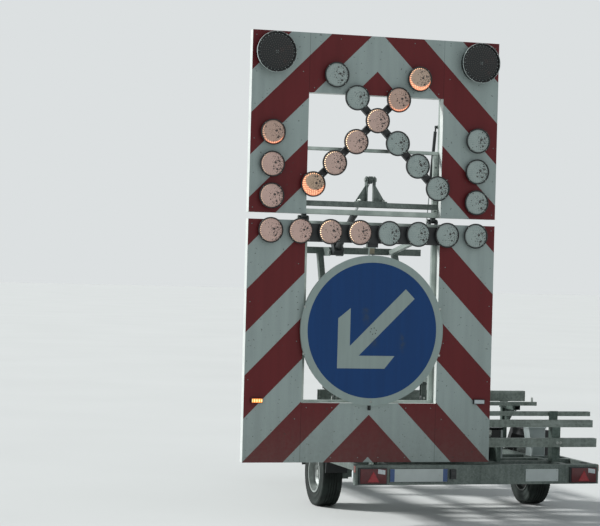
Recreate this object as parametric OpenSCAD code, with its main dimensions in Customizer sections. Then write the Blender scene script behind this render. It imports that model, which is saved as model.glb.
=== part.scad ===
// Road trailer that carries a folding warning board with lamps and a direction disc.
// The board stands at the rear, slid out to the left of the trailer on cross rails.
// X is across the trailer (right is +), Y runs forward to the drawbar, Z is up from the road.

/* [Board] */
// Width of the warning board
board_w = 2200; // [1800:10:2400]
// Height of the lower board
lower_h = 2030; // [1900:10:2150]
// Height of the folding upper board
upper_h = 1517; // [1450:1:1650]
// Gap between the two boards, where the hinges are
board_gap = 56; // [50:1:70]
// Width of the legs and of the cross bands
band_w = 500; // [450:10:520]
// Depth of the folded panel edges
panel_d = 75; // [60:1:90]
// Thickness of the panel sheet
sheet_t = 3; // [2:0.5:4]
// Height of the board's lower edge above the road
board_z = 513; // [505:1:540]
// Distance from the trailer's centre line to the board's centre, to the left
board_out = 1004; // [0:1:1004]

/* [Lamps] */
// Outer diameter of an arrow lamp
lamp_d = 215; // [180:1:230]
// Depth of an arrow lamp in front of the board
lamp_depth = 45; // [30:1:60]
// Spacing of the lamps in the row
lamp_pitch = 261; // [250:1:270]
// Spacing of the cross lamps along each axis
cross_step = 185; // [175:1:190]
// Outer diameter of a flash lamp
flash_d = 340; // [300:1:360]

/* [Disc] */
// Diameter of the round direction sign
disc_d = 1265; // [1200:5:1300]
// Height of its centre above the board's lower edge
disc_z = 1117; // [1090:1:1130]

/* [Trailer] */
// Width of the rear beam
beam_w = 2235; // [2200:5:2300]
// Height of the rear beam
beam_h = 168; // [140:1:180]
// Height of the frame's top above the road
deck_z = 490; // [460:1:500]
// Length of the frame from the rear beam's face to the front beam's face
frame_len = 3350; // [3000:10:3600]
// Distance from the rear beam's face to the centre of the towing eye
eye_y = 4900; // [4700:10:5100]
// Bore of the towing eye
eye_bore = 40; // [40:1:76]

/* [Running gear] */
// Tyre diameter
tyre_d = 584; // [570:2:600]
// Tyre width
tyre_w = 185; // [175:1:190]
// Rim diameter at the bead
rim_d = 330; // [300:1:340]
// Distance from the rear beam's face to the wheel centres
axle_y = 1245; // [1100:5:1300]
// Distance between the tyre centres
track = 2020; // [2005:1:2025]

/* [Fold drive] */
// Height of the drive pin above the upper board's lower edge
pin_up = 310; // [300:1:320]
// Distance from the rear beam's face to the drive's foot pin
foot_y = 1100; // [1050:10:1150]
// Height of the drive's foot pin above the road
foot_z = 2285; // [2260:5:2290]

/* [Hidden] */

$fn = 48;
eps = 1;                      // how far a cutter runs past a face

// Depths along Y, measured from the rear beam's rear face
panel_y = 30;                 // rear face of the board
back_y = panel_y + panel_d;   // where the board's frame starts
frame_t = 40;                 // depth of the board's frame tubes
hinge_y = back_y + frame_t + 40;
upper_z = lower_h + board_gap;
hinge_z = lower_h + board_gap / 2;
opening_w = board_w - 2 * band_w;

// Trailer frame
beam_t = 5;
beam_d = 70;
main_x = 815;
centre_x = 270;
rail_x = 1101;                // outer face of the side rails
wheel_r = tyre_d / 2;
drawbar_z = 350;

// Rails on which the board slides
rear_post_y = 270;
rear_post_d = 80;
post_x = [790, 870];          // inner and outer face of a rear post
a2_z = 622;
a2_h = 77;
a1_z = 791;
a1_h = 63;
b1_z = 884;
rear_half = 1190;             // half the length of the rear rails
front_half = 1015;            // half the length of the front rails
front_post_y = 1424;
c1_y = 1140;
c1_z = 917;
c1_h = 34;
c2_y = 1420;
c2_z = 938;
c2_h = 96;
roller_gap = 1;               // running clearance between a roller and its rail
arm_u = [60, 900];            // where the carriage's arms stand, from the board's centre

// The whole part is centred on its own box
x_min = -board_out - board_w / 2;
x_max = rear_half;
y_min = panel_y - 80;
y_max = eye_y + 50;
mid_x = (x_min + x_max) / 2;
mid_y = (y_min + y_max) / 2;

module on_trailer() { translate([-mid_x, -mid_y, 0]) children(); }
module on_board() { translate([-mid_x - board_out, -mid_y, board_z]) children(); }
module on_upper() { translate([-mid_x - board_out, -mid_y, board_z + upper_z]) children(); }

// A block between two opposite corners
module block(a, b) { translate(a) cube(b - a); }

// Square tubes with open ends, between two opposite corners
module tube_x(a, b, t) {
    difference() {
        block(a, b);
        block(a + [-eps, t, t], b + [eps, -t, -t]);
    }
}
module tube_y(a, b, t) {
    difference() {
        block(a, b);
        block(a + [t, -eps, t], b + [-t, eps, -t]);
    }
}
module tube_z(a, b, t) {
    difference() {
        block(a, b);
        block(a + [t, t, -eps], b + [-t, -t, eps]);
    }
}

// The children and their mirror image on the trailer's other side
module both_sides() {
    children();
    mirror([1, 0, 0]) children();
}

// A round bar along X, Y
module rod_x(r, x0, x1) { translate([x0, 0, 0]) rotate([0, 90, 0]) cylinder(r = r, h = x1 - x0); }
module rod_y(r, y0, y1) { translate([0, y0, 0]) rotate([-90, 0, 0]) cylinder(r = r, h = y1 - y0); }

// Rear beam: a folded channel, open to the front
module rear_beam() {
    color("gainsboro") on_trailer() difference() {
        block([-beam_w / 2, 0, deck_z - beam_h], [beam_w / 2, beam_d, deck_z]);
        block([-beam_w / 2 + beam_t, beam_t, deck_z - beam_h + beam_t],
            [beam_w / 2 - beam_t, beam_d + eps, deck_z - beam_t]);
    }
}

// Two deep channels with their backs towards the middle
module main_beams() {
    color("silver") on_trailer() both_sides() difference() {
        block([main_x - 25, beam_d, 350], [main_x + 25, frame_len - 50, deck_z]);
        block([main_x - 21, beam_d - eps, 354], [main_x + 25 + eps, frame_len - 50 + eps, deck_z - 4]);
    }
}

module centre_beams() {
    color("silver") on_trailer() both_sides() tube_y([centre_x - 25, beam_d, drawbar_z],
        [centre_x + 25, frame_len - 50, 430], 4);
}

// Side rails in two lengths, left out beside the wheels
module side_rails() {
    color("silver") on_trailer() both_sides() for (run = [[beam_d, 800], [1690, frame_len - 50]])
        tube_y([rail_x - 40, run[0], deck_z - 55], [rail_x, run[1], deck_z], 3);
}

cross_at = [300, 570, 900, 1500, 2300, 2900];
outrigger_at = [480, 750, 1690, 2400, 3000];

module cross_members() {
    color("silver") on_trailer() {
        for (y = cross_at) tube_x([-main_x + 25, y, 430], [main_x - 25, y + 60, deck_z], 3);
        both_sides() for (y = outrigger_at)
            tube_x([main_x + 25, y, deck_z - 50], [rail_x - 40, y + 50, deck_z], 3);
    }
}

module front_beam() {
    color("silver") on_trailer() tube_x([-rail_x, frame_len - 50, 350],
        [rail_x, frame_len, deck_z], 4);
}

// Two tubes that close in on the towing head
draw_run = 4650 - frame_len;
draw_in = centre_x - 50;
draw_angle = atan(draw_in / draw_run);
module drawbar() {
    color("silver") on_trailer() {
        both_sides() intersection() {
            block([-20, frame_len, drawbar_z - 20], [400, 4600, 460]);
            translate([centre_x, frame_len, drawbar_z]) rotate([0, 0, draw_angle])
                tube_y([-25, -60, 0], [25, draw_run / cos(draw_angle), 80], 4);
        }
        block([-95, 4560, drawbar_z - 6], [95, 4700, drawbar_z + 86]);
        block([-150, 4240, drawbar_z - 6], [150, 4320, drawbar_z]);
    }
}

module drawbar_eye() {
    color("dimgray") on_trailer() difference() {
        union() {
            translate([0, eye_y, drawbar_z + 18]) cylinder(r = 50, h = 44);
            translate([0, 0, drawbar_z + 40]) rod_y(22, 4700, eye_y - 40);
            translate([0, 0, drawbar_z + 40]) rod_y(40, 4700, 4720);
        }
        translate([0, eye_y, drawbar_z]) cylinder(r = eye_bore / 2, h = 100);
    }
}

// Support leg with a crank, beside the drawbar
jock_x = 185;
jock_y = 4320;
function draw_face(y) = centre_x + 25 / cos(draw_angle) - tan(draw_angle) * (y - frame_len);
module jockey_leg() {
    color("silver") on_trailer() translate([jock_x, jock_y, 0]) {
        difference() {
            union() {
                translate([0, 0, 240]) cylinder(r = 30, h = 460);
                translate([0, 0, 375]) linear_extrude(40) polygon([[draw_face(jock_y - 30) - jock_x, -30],
                    [0, -30], [0, 30], [draw_face(jock_y + 30) - jock_x, 30]]);
            }
            translate([0, 0, 240 - eps]) cylinder(r = 25, h = 461);
        }
        difference() {
            translate([0, 0, 200]) cylinder(r = 24, h = 400);
            translate([0, 0, 200 - eps]) cylinder(r = 20, h = 380);
        }
        difference() {
            block([-35, -40, 70], [35, 40, 210]);
            block([-28, -41, 60], [28, 41, 203]);
            translate([0, 0, 100]) rod_x(11, -40, 40);
        }
        translate([0, 0, 700]) cylinder(r = 32, h = 12);
        block([-12, -12, 712], [12, 130, 724]);
        translate([0, 118, 724]) cylinder(r = 12, h = 90);
    }
}

module jockey_wheel() {
    color("dimgray") on_trailer() translate([jock_x, jock_y, 100]) {
        rotate([0, 90, 0]) rotate_extrude($fn = 64) {
            translate([14, -25]) square([46, 50]);
            translate([60, -20]) square([30, 40]);
            translate([80, 0]) circle(r = 20);
        }
        rod_x(14, -24, 24);
        rod_x(11, -42, 42);
    }
}

// Torsion axle: a square tube under the frame, with trailing arms and stubs
module axle() {
    color("silver") on_trailer() both_sides() {
        tube_x([0, axle_y - 150, 270], [880, axle_y - 70, 350], 6);
        block([820, axle_y - 140, 255], [870, axle_y + 35, 325]);
        translate([0, axle_y, wheel_r]) {
            rod_x(35, 820, track / 2 - 70);
            rod_x(20, 820, track / 2 + 35);
        }
    }
}

module tyre(side) {
    color("dimgray") on_trailer() translate([side * track / 2, axle_y, wheel_r])
        rotate([0, 90, 0]) rotate_extrude($fn = 96) difference() {
            union() {
                translate([rim_d / 2, -tyre_w / 2 + 8]) square([60, tyre_w - 16]);
                translate([rim_d / 2 + 30, -tyre_w / 2 + 4]) square([wheel_r - rim_d / 2 - 54, tyre_w - 8]);
                translate([wheel_r - 50, -tyre_w / 2 + 24]) square([50, tyre_w - 48]);
                for (s = [-1, 1]) {
                    translate([wheel_r - 24, s * (tyre_w / 2 - 24)]) circle(r = 24);
                    translate([rim_d / 2 + 50, s * (tyre_w / 2 - 40)]) circle(r = 40);
                }
            }
            for (s = [-36, -12, 12, 36]) translate([wheel_r - 8, s - 3]) square([20, 6]);
        }
}

module rim(side) {
    color("silver") on_trailer() translate([side * track / 2, axle_y, wheel_r]) mirror([side < 0 ? 1 : 0, 0, 0])
        difference() {
            rotate([0, 90, 0]) rotate_extrude($fn = 96) {
                translate([rim_d / 2 - 5, -tyre_w / 2 + 10]) square([5, tyre_w - 20]);
                translate([rim_d / 2 - 5, -tyre_w / 2 + 2]) square([13, 6]);
                translate([rim_d / 2 - 5, tyre_w / 2 - 8]) square([13, 6]);
                translate([rim_d / 2 - 5, -tyre_w / 2 + 2]) square([5, tyre_w - 4]);
                polygon([[30, 12], [30, 24], [95, 24], [115, 44], [rim_d / 2 - 4, 30],
                    [rim_d / 2 - 4, 22], [118, 34], [100, 12]]);
                translate([21, -60]) square([34, 84]);
            }
            for (a = [0:30:330]) rotate([a, 0, 0]) translate([0, 0, 138]) rod_x(12, 10, 60);
            for (a = [36:72:330]) rotate([a, 0, 0]) translate([0, 0, 75]) rod_x(7, 0, 60);
        }
}

// Side view of a mudguard from the axle: flat on top, sloped at both ends
guard_top = 405;
module guard_band(t) {
    outline = [[-340, -200], [-385, 190], [-240, guard_top], [240, guard_top], [385, 190], [340, -200]];
    intersection() {
        difference() {
            polygon(outline);
            offset(delta = -t) polygon(outline);
        }
        translate([-400, 40]) square([800, guard_top]);
    }
}

// Folded mudguards with a deep skirt on the inside and a lip on the outside, on two brackets each
module mudguards() {
    color("dimgray") on_trailer() both_sides() {
        translate([track / 2 - 105, axle_y, wheel_r]) rotate([90, 0, 90]) {
            linear_extrude(200) guard_band(3);
            linear_extrude(3) guard_band(60);
            translate([0, 0, 197]) linear_extrude(3) guard_band(18);
        }
        for (y = [-370, 345]) block([main_x + 25, axle_y + y, 440], [track / 2 - 105, axle_y + y + 25, 470]);
    }
}

// Rear lamp clusters, one solid each: base, reflector triangle and round lens
module tail_lights() {
    color("firebrick") on_trailer() both_sides() translate([968, 0, 400]) {
        block([-125, -22, -69], [125, 0, 69]);
        translate([55, -22, 0]) rotate([90, 0, 0]) linear_extrude(8)
            polygon([[-50, -48], [50, -48], [0, 40]]);
        translate([-60, -30, 20]) rod_y(32, 0, 9);
    }
}

module rear_plates() {
    color("white") on_trailer() {
        block([-811, -4, 348], [-291, 0, 458]);
        block([433, -4, 346], [737, 0, 452]);
    }
}

module plate_lamp() {
    color("black") on_trailer() block([-270, -30, 372], [-220, 0, 454]);
}

// Uprights on the main beams, with a foot and a bracket under the part that overhangs; a tongue carries
// the cable rail. Two deep stubs stiffen the lower rail near the middle.
stub_x = [272, 306];
module rear_posts() {
    color("silver") on_trailer() both_sides() {
        tube_z([post_x[0], rear_post_y, deck_z + 8], [post_x[1], rear_post_y + rear_post_d, a1_z], 4);
        block([post_x[0] - 8, rear_post_y - 20, deck_z], [post_x[1] + 10, rear_post_y + rear_post_d + 20, deck_z + 8]);
        block([main_x + 25, rear_post_y - 8, deck_z - 60], [post_x[1], rear_post_y + rear_post_d + 8, deck_z]);
        block([post_x[0], rear_post_y + rear_post_d - 12, a1_z], [post_x[1], rear_post_y + rear_post_d, b1_z + 45]);
        tube_z([stub_x[0], rear_post_y, deck_z], [stub_x[1], rear_post_y + 170, a2_z + 65], 3);
    }
}

module rear_rails() {
    color("silver") on_trailer() {
        tube_x([-rear_half, rear_post_y - 65, a2_z], [rear_half, rear_post_y, a2_z + a2_h], 4);
        tube_x([-rear_half + 10, rear_post_y, a1_z], [rear_half - 10, rear_post_y + 65, a1_z + a1_h], 4);
    }
}

// Open channel behind the rear rails, for the board's cable
module cable_rail() {
    tray_y = rear_post_y + rear_post_d;
    color("silver") on_trailer() difference() {
        block([-rear_half, tray_y, b1_z], [rear_half, tray_y + 36, b1_z + 40]);
        block([-rear_half - eps, tray_y + 2, b1_z + 2], [rear_half + eps, tray_y + 34, b1_z + 40 + eps]);
    }
}

// Uprights on the main beams with a bar on top that carries both front rails, and a brace under it
front_post_d = 50;
module front_posts() {
    color("silver") on_trailer() both_sides() {
        tube_z([main_x - 25, front_post_y, deck_z + 8], [main_x + 25, front_post_y + front_post_d, c1_z - 40], 4);
        block([main_x - 35, front_post_y - 25, deck_z], [main_x + 35, front_post_y + front_post_d + 25, deck_z + 8]);
        tube_y([main_x - 30, c1_y - 10, c1_z - 40], [main_x + 30, c2_y + 70, c1_z], 4);
        block([main_x - 30, c2_y + 5, c1_z], [main_x + 30, c2_y + 55, c2_z]);
        translate([main_x - 4, 0, 0]) rotate([90, 0, 90]) linear_extrude(8)
            polygon([[front_post_y, c1_z - 40], [c1_y + 40, c1_z - 40], [front_post_y, c1_z - 240]]);
    }
}

module front_rails() {
    color("silver") on_trailer() {
        tube_x([-front_half, c1_y, c1_z], [front_half, c1_y + 40, c1_z + c1_h], 3);
        tube_x([-front_half, c2_y, c2_z], [front_half, c2_y + 60, c2_z + c2_h], 4);
    }
}

// Sheet metal boxes with a lid that overhangs
module sheet_box(a, b, lid) {
    difference() {
        block(a, b);
        block(a + [2, 2, 2], b - [2, 2, -eps]);
    }
    difference() {
        block([a[0] - 6, a[1] - 6, b[2] - 22], [b[0] + 6, b[1] + 6, b[2] + lid]);
        block([a[0], a[1], b[2] - 22 - eps], [b[0], b[1], b[2]]);
    }
}
module cabinet_side(inset, head) {
    offset(delta = -inset) polygon([[792, deck_z], [792, deck_z + 70], [762, head], [922, head], [922, deck_z]]);
}
module control_cabinet() {
    color("gray") on_trailer() {
        difference() {
            translate([0, 850, 0]) rotate([90, 0, 0]) linear_extrude(130) cabinet_side(0, 742);
            translate([0, 846, 0]) rotate([90, 0, 0]) linear_extrude(122) cabinet_side(4, 742);
        }
        block([754, 712, 742], [930, 858, 752]);
    }
}

module tool_box() {
    color("black") on_trailer() sheet_box([-85, 450, deck_z], [387, 750, 767], 4);
}

// Battery box ahead of the axle, filled with batteries
module battery_box() {
    color("gray") on_trailer() {
        block([-400, 2350, deck_z], [400, 2850, 830]);
        block([-410, 2340, 830], [410, 2860, 860]);
    }
}

// A panel: a sheet folded forward along all four edges
module panel(x0, x1, z0, z1) {
    difference() {
        block([x0, panel_y, z0], [x1, back_y, z1]);
        block([x0 + sheet_t, panel_y + sheet_t, z0 + sheet_t], [x1 - sheet_t, back_y + eps, z1 - sheet_t]);
    }
}

module lower_panel_left() {
    color("firebrick") on_board() panel(-board_w / 2, -opening_w / 2, 0, lower_h);
}
module lower_panel_right() {
    color("firebrick") on_board() panel(opening_w / 2, board_w / 2, 0, lower_h);
}
module lower_panel_bottom() {
    color("firebrick") on_board() panel(-opening_w / 2, opening_w / 2, 0, band_w);
}

// Uprights and rungs of one board's frame
in_x = opening_w / 2 - 40;
out_x = board_w / 2 - 60;
module uprights(h) {
    both_sides() {
        tube_z([in_x, back_y, 0], [in_x + 60, back_y + frame_t, h], 3);
        tube_z([out_x, back_y, 0], [out_x + 40, back_y + frame_t, h], 3);
    }
}
module side_rungs(z) {
    both_sides() tube_x([in_x + 60, back_y, z], [out_x, back_y + frame_t, z + 40], 3);
}
module middle_rung(z, h) { tube_x([-in_x, back_y, z], [in_x, back_y + frame_t, z + h], 3); }

module lower_frame() {
    color("lightgray") on_board() {
        uprights(lower_h);
        for (z = [0, 620, 1240, lower_h - 40]) side_rungs(z);
        middle_rung(0, 40);
        middle_rung(band_w - 20, 40);
        middle_rung(lower_h - 40, 40);
    }
}

row_z = lower_h - 90;
module lamp_row_bar() {
    color("black") on_board() difference() {
        block([-opening_w / 2, panel_y, row_z - 88], [opening_w / 2, back_y, row_z + 64]);
        block([-opening_w / 2 - eps, panel_y + 3, row_z - 85], [opening_w / 2 + eps, back_y + eps, row_z + 61]);
    }
}

// A lamp: round pan, overhanging bezel and a domed lens that sits back from the bezel's lip
lens_rise = 7;
module lamp(d, depth) {
    lens_r = d / 2 - 11;
    translate([0, panel_y, 0]) rotate([90, 0, 0]) rotate_extrude() polygon(concat(
        [[0, 0], [d / 2 - 12, 0], [d / 2 - 12, depth - 20], [d / 2, depth - 16], [d / 2, depth - 3],
            [d / 2 - 3, depth], [d / 2 - 9, depth]],
        [for (a = [0:15:90]) [lens_r * cos(a), depth - 9 + lens_rise * sin(a)]]));
}

row_u = [for (i = [-3.5:1:3.5]) i * lamp_pitch];
module row_lamps() {
    color("orange") on_board() for (u = row_u) translate([u, 0, row_z]) lamp(lamp_d, lamp_depth);
}

// Disc of thin sheet with a rolled rim, its face on the -Y side
disc_y = -10;
module sign_disc() {
    color("royalblue") on_board() translate([0, disc_y, disc_z]) rotate([-90, 0, 0])
        rotate_extrude($fn = 128) {
            square([disc_d / 2, 3]);
            translate([disc_d / 2 - 3, 0]) square([3, 22]);
            translate([disc_d / 2 - 15, 19]) square([15, 3]);
        }
}

module disc_rails() {
    color("silver") on_board() for (z = [-150, 150]) {
        block([-opening_w / 2, 62, disc_z + z - 20], [opening_w / 2, 92, disc_z + z + 20]);
        for (u = [-350, 350]) block([u - 20, disc_y + 3, disc_z + z - 20], [u + 20, 62, disc_z + z + 20]);
    }
}

module marker_lights() {
    color("orange") on_board() both_sides()
        block([board_w / 2 - 160, panel_y - 22, 498], [board_w / 2 - 60, panel_y, 538]);
}

// Carriage: two arms on the board's front side, with forks that reach to the rear rails
arm_y = back_y + frame_t;
arm_d = 35;
roll_r = 28;
fork_in = 21;                 // from a roller's middle to the inner face of its fork
fork_t = 6;
pin_r = 9;
a1_roll = [rear_post_y + 32, a1_z + a1_h - board_z + roller_gap + roll_r];
a2_roll = [rear_post_y - 33, a2_z - board_z - roller_gap - roll_r];
c1_roll = [c1_y + 20, c1_z + c1_h - board_z + roller_gap + roll_r];
c2_roll = [c2_y + 30, c2_z + c2_h - board_z + roller_gap + roll_r];

// The two cheeks of a fork, bored for the pin, from past the pin up or down to z
module cheeks(at, z) {
    for (s = [-1, 1]) difference() {
        translate([0, at[0] + s * (fork_in + fork_t / 2), 0])
            block([-25, -fork_t / 2, min(z, at[1] - 20)], [25, fork_t / 2, max(z, at[1] + 20)]);
        translate([0, at[0], at[1]]) rod_y(pin_r + 0.5, -40, 40);
    }
}
module carriage_arms() {
    color("silver") on_board() for (u = arm_u) translate([u, 0, 0]) {
        tube_z([-30, arm_y, 20], [30, arm_y + arm_d, 660], 4);
        cheeks(a1_roll, a1_roll[1] + 32);
        block([-25, arm_y + arm_d, a1_roll[1] + 32], [25, a1_roll[0] + fork_in + fork_t, a1_roll[1] + 40]);
        cheeks(a2_roll, a2_roll[1] - 32);
        block([-25, arm_y + arm_d, a2_roll[1] - 40], [25, a2_roll[0] + fork_in + fork_t, a2_roll[1] - 32]);
        tube_y([-20, arm_y + arm_d, 620], [20, c1_y - 10, 660], 3);
        block([-20, c1_y - 18, sole_z], [20, c1_y - 10, 660]);
    }
}

// Crowned rollers on pins along Y, which run through the cheeks
module carriage_rollers() {
    color("dimgray") on_board() for (u = arm_u, at = [a1_roll, a2_roll, c1_roll, c2_roll])
        translate([u, at[0], at[1]]) rotate([-90, 0, 0]) rotate_extrude()
            polygon([[0, -fork_in - fork_t], [pin_r, -fork_in - fork_t], [pin_r, -18], [roll_r - 4, -18],
                [roll_r, -14], [roll_r, 14], [roll_r - 4, 18], [pin_r, 18],
                [pin_r, fork_in + fork_t], [0, fork_in + fork_t]]);
}

// Trestle that follows the board on the front rails and carries the drive's foot. Its legs lean in
// from the soles to the top bar.
tres_y = 1275;
sole_z = 592;                 // underside of the trestle's sole plates
tres_top = foot_z - board_z - 10;
foot_u = 12;
leg_top_u = [-75, 640];
module leg_side(i, inset) {
    offset(delta = -inset) polygon([[arm_u[i] - 25, sole_z + 12], [arm_u[i] + 25, sole_z + 12],
        [leg_top_u[i] + 25, tres_top], [leg_top_u[i] - 25, tres_top]]);
}

module trestle() {
    color("silver") on_board() {
        for (i = [0, 1]) translate([0, tres_y + 60, 0]) rotate([90, 0, 0]) difference() {
            linear_extrude(60) leg_side(i, 0);
            translate([0, 0, 3]) linear_extrude(54) leg_side(i, 3);
        }
        for (u = arm_u) {
            block([u - 35, c1_y - 10, sole_z], [u + 35, c2_y + 65, sole_z + 12]);
            for (y = [c1_y + 20, tres_y + 60]) translate([u - 4, y, sole_z + 12]) rotate([90, 0, 90]) linear_extrude(8)
                polygon([[0, 0], [tres_y - c1_y - 20, 0], y > tres_y ? [0, 90] : [tres_y - c1_y - 20, 90]]);
            translate([u, 0, 0]) {
                cheeks(c1_roll, sole_z);
                cheeks(c2_roll, sole_z);
            }
        }
        tube_x([-in_x - 60, tres_y, tres_top], [arm_u[1] - 15, tres_y + 60, tres_top + 60], 3);
        for (s = [-1, 1]) difference() {
            translate([foot_u + s * 60, 0, 0]) union() {
                block([-5, foot_y, foot_z - board_z - 30], [5, tres_y, tres_top + 60]);
                translate([0, foot_y, foot_z - board_z]) rod_x(30, -5, 5);
            }
            translate([foot_u, foot_y, foot_z - board_z]) rod_x(10, -70, 70);
        }
        translate([foot_u, foot_y, foot_z - board_z]) rod_x(9.5, -69, 69);
    }
}

// Sloping tubes from the top of the lower frame to the trestle
stay_top = 1947;
stay_rise = stay_top - tres_top;
stay_run = tres_y - arm_y;
stay_angle = atan(stay_rise / stay_run);
module top_stays() {
    color("lightgray") on_board() {
        intersection() {
            block([-700, arm_y, 1500], [700, tres_y, lower_h]);
            both_sides() translate([in_x + 10, arm_y, stay_top]) rotate([-stay_angle, 0, 0])
                tube_y([0, -30, 0], [40, 1300, 40], 3);
        }
        block([strut_u + 14, strut_foot[1] - 15, strut_foot[2] - 70], [strut_u + 20, strut_foot[1] + 15, strut_foot[2] + 15]);
        translate(strut_foot) rod_x(4.5, 8, 14);
    }
}

module junction_box() {
    color("black") on_board() block([-40, panel_y + 25, row_z - 122], [53, back_y - 10, row_z - 88]);
}

// Hinge knuckles at the inner uprights, with the pin on the lower board's side
hinge_u = [-in_x - 20, in_x + 20];
module lower_hinges() {
    color("dimgray") on_board() for (u = hinge_u) translate([u, hinge_y, hinge_z]) {
        for (s = [-1, 1]) difference() {
            union() {
                translate([s * 32, 0, 0]) rod_x(18, -10, 10);
                block([s * 32 - 10, arm_y - hinge_y, -60], [s * 32 + 10, 0, 0]);
            }
            translate([s * 32, 0, 0]) rod_x(10, -12, 12);
        }
        rod_x(10, -45, 45);
    }
}
module upper_hinges() {
    color("dimgray") on_upper() for (u = hinge_u) translate([u, hinge_y, -board_gap / 2]) difference() {
        union() {
            rod_x(18, -19, 19);
            block([-19, arm_y - hinge_y, 0], [19, 0, 70]);
        }
        rod_x(11, -20, 20);
    }
}

module upper_panel_left() {
    color("firebrick") on_upper() panel(-board_w / 2, -opening_w / 2, 0, upper_h);
}
module upper_panel_right() {
    color("firebrick") on_upper() panel(opening_w / 2, board_w / 2, 0, upper_h);
}
module upper_panel_top() {
    color("firebrick") on_upper() panel(-opening_w / 2, opening_w / 2, upper_h - band_w, upper_h);
}

module upper_frame() {
    color("lightgray") on_upper() {
        uprights(upper_h);
        for (z = [0, 720, upper_h - 40]) side_rungs(z);
        middle_rung(0, 45);
        tube_x([-in_x, back_y, clevis_z - 44], [in_x, hinge_y + 20, clevis_z], 4);
        middle_rung(539, 30);
        middle_rung(upper_h - band_w, 40);
        middle_rung(upper_h - 40, 40);
        block([strut_u + 14, arm_y, strut_top[2] - upper_z - 15], [strut_u + 20, strut_top[1] + 15, strut_top[2] - upper_z + 15]);
        translate(strut_top - [0, 0, upper_z]) rod_x(4.5, -7, 14);
        difference() {
            block([in_x - 5, back_y, clevis_z], [in_x, back_y + frame_t, 539]);
            for (z = [clevis_z + 40:50:520]) translate([0, back_y + frame_t / 2, z]) rod_x(9, in_x - 10, in_x + 5);
        }
    }
}

// Two crossing bars in the opening, cut to the opening's edges
cross_z = 803;
module lamp_cross() {
    color("black") on_upper() intersection() {
        block([-opening_w / 2, panel_y, 0], [opening_w / 2, panel_y + 40, upper_h - band_w]);
        for (s = [-1, 1]) translate([0, 0, cross_z]) rotate([0, s * 45, 0])
            block([-1200, panel_y, -30], [1200, panel_y + 40, 30]);
    }
}

module cross_lamps() {
    color("orange") on_upper() {
        for (i = [-3:2]) translate([i * cross_step, 0, cross_z + i * cross_step]) lamp(lamp_d, lamp_depth);
        for (i = [-3:2]) if (i != 0) translate([-i * cross_step, 0, cross_z + i * cross_step]) lamp(lamp_d, lamp_depth);
    }
}

column_u = 3.5 * lamp_pitch;
module column_lamps() {
    color("orange") on_upper() both_sides() for (z = [140, 405, 670])
        translate([column_u, 0, z]) lamp(lamp_d, lamp_depth);
}

module flash_lamps() {
    color("black") on_upper() both_sides() translate([column_u - 3, 0, upper_h - 182]) lamp(flash_d, 80);
}

// Two lugs on a base plate, with gussets, on top of the dark lower beam of the opening
clevis_z = 115;
lug_in = 30;
module clevis_bracket() {
    color("dimgray") on_upper() translate([foot_u, 0, clevis_z]) {
        block([-130, back_y, 0], [130, hinge_y + 30, 10]);
        for (s = [-1, 1]) {
            difference() {
                union() {
                    translate([s * (lug_in + 5), 0, 0]) block([-5, hinge_y - 30, 10], [5, hinge_y + 30, pin_up - clevis_z]);
                    translate([s * (lug_in + 5), hinge_y, pin_up - clevis_z]) rod_x(30, -5, 5);
                }
                translate([s * (lug_in + 5), hinge_y, pin_up - clevis_z]) rod_x(11, -6, 6);
            }
            translate([s * (lug_in + 10), hinge_y, 10]) rotate([90, 0, 0]) linear_extrude(8)
                polygon([[0, 0], [s * 88, 0], [s * 88, 8], [0, 145]]);
            translate([s * (lug_in + 10), hinge_y, pin_up - clevis_z]) rod_x(16, s > 0 ? 0 : -8, s > 0 ? 8 : 0);
        }
    }
}

// The fold drive lies along the line from its foot pin to the clevis pin
drive_top = [foot_u, hinge_y, hinge_z + board_gap / 2 + pin_up];
drive_foot = [foot_u, foot_y, foot_z - board_z];
drive_len = norm(drive_top - drive_foot);
drive_tilt = atan2(drive_top[2] - drive_foot[2], drive_foot[1] - drive_top[1]);
module along_drive() {
    on_board() translate(drive_foot) rotate([-drive_tilt, 0, 0]) rotate([0, 0, 180]) children();
}
// Gear housing with a bored foot, its motor underneath, and the tube that guides the rod
tube_end = 606;
module actuator_barrel() {
    color("black") along_drive() difference() {
        union() {
            rod_x(24, -45, 45);
            block([-45, 0, -24], [45, 30, 24]);
            block([-45, 30, -40], [45, 92, 106]);
            translate([0, 0, 72]) rod_y(34, 92, 230);
            translate([0, 0, 72]) rod_y(28, 230, 240);
            rod_y(30, 92, tube_end - 20);
            rod_y(34, tube_end - 30, tube_end);
        }
        rod_y(14, 97, tube_end + eps);
        rod_x(10, -50, 50);
    }
}
module actuator_rod() {
    color("silver") along_drive() difference() {
        union() {
            rod_y(12.5, tube_end - 42, drive_len);
            translate([0, drive_len, 0]) rod_x(24, -20, 20);
        }
        translate([0, drive_len, 0]) rod_x(11, -30, 30);
    }
}

// Gas strut from the right upright of the upper board to a lug by the hinge
strut_u = 590;
strut_top = [strut_u, 176, upper_z + 786];
strut_foot = [strut_u, 354, 2000];
strut_len = norm(strut_top - strut_foot);
strut_tilt = atan2(strut_top[2] - strut_foot[2], strut_foot[1] - strut_top[1]);
module along_strut() {
    on_board() translate(strut_top) rotate([-strut_tilt, 0, 0]) children();
}
module strut_barrel() {
    color("black") along_strut() difference() {
        union() {
            rod_x(12, -7, 7);
            rod_y(7, 0, 40);
            rod_y(14, 40, 480);
        }
        rod_y(6, 60, 490);
        rod_x(5, -10, 10);
    }
}
module strut_rod() {
    color("silver") along_strut() difference() {
        union() {
            rod_y(5, 400, strut_len);
            translate([0, strut_len, 0]) rod_x(12, -7, 7);
        }
        translate([0, strut_len, 0]) rod_x(5, -10, 10);
    }
}

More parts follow.
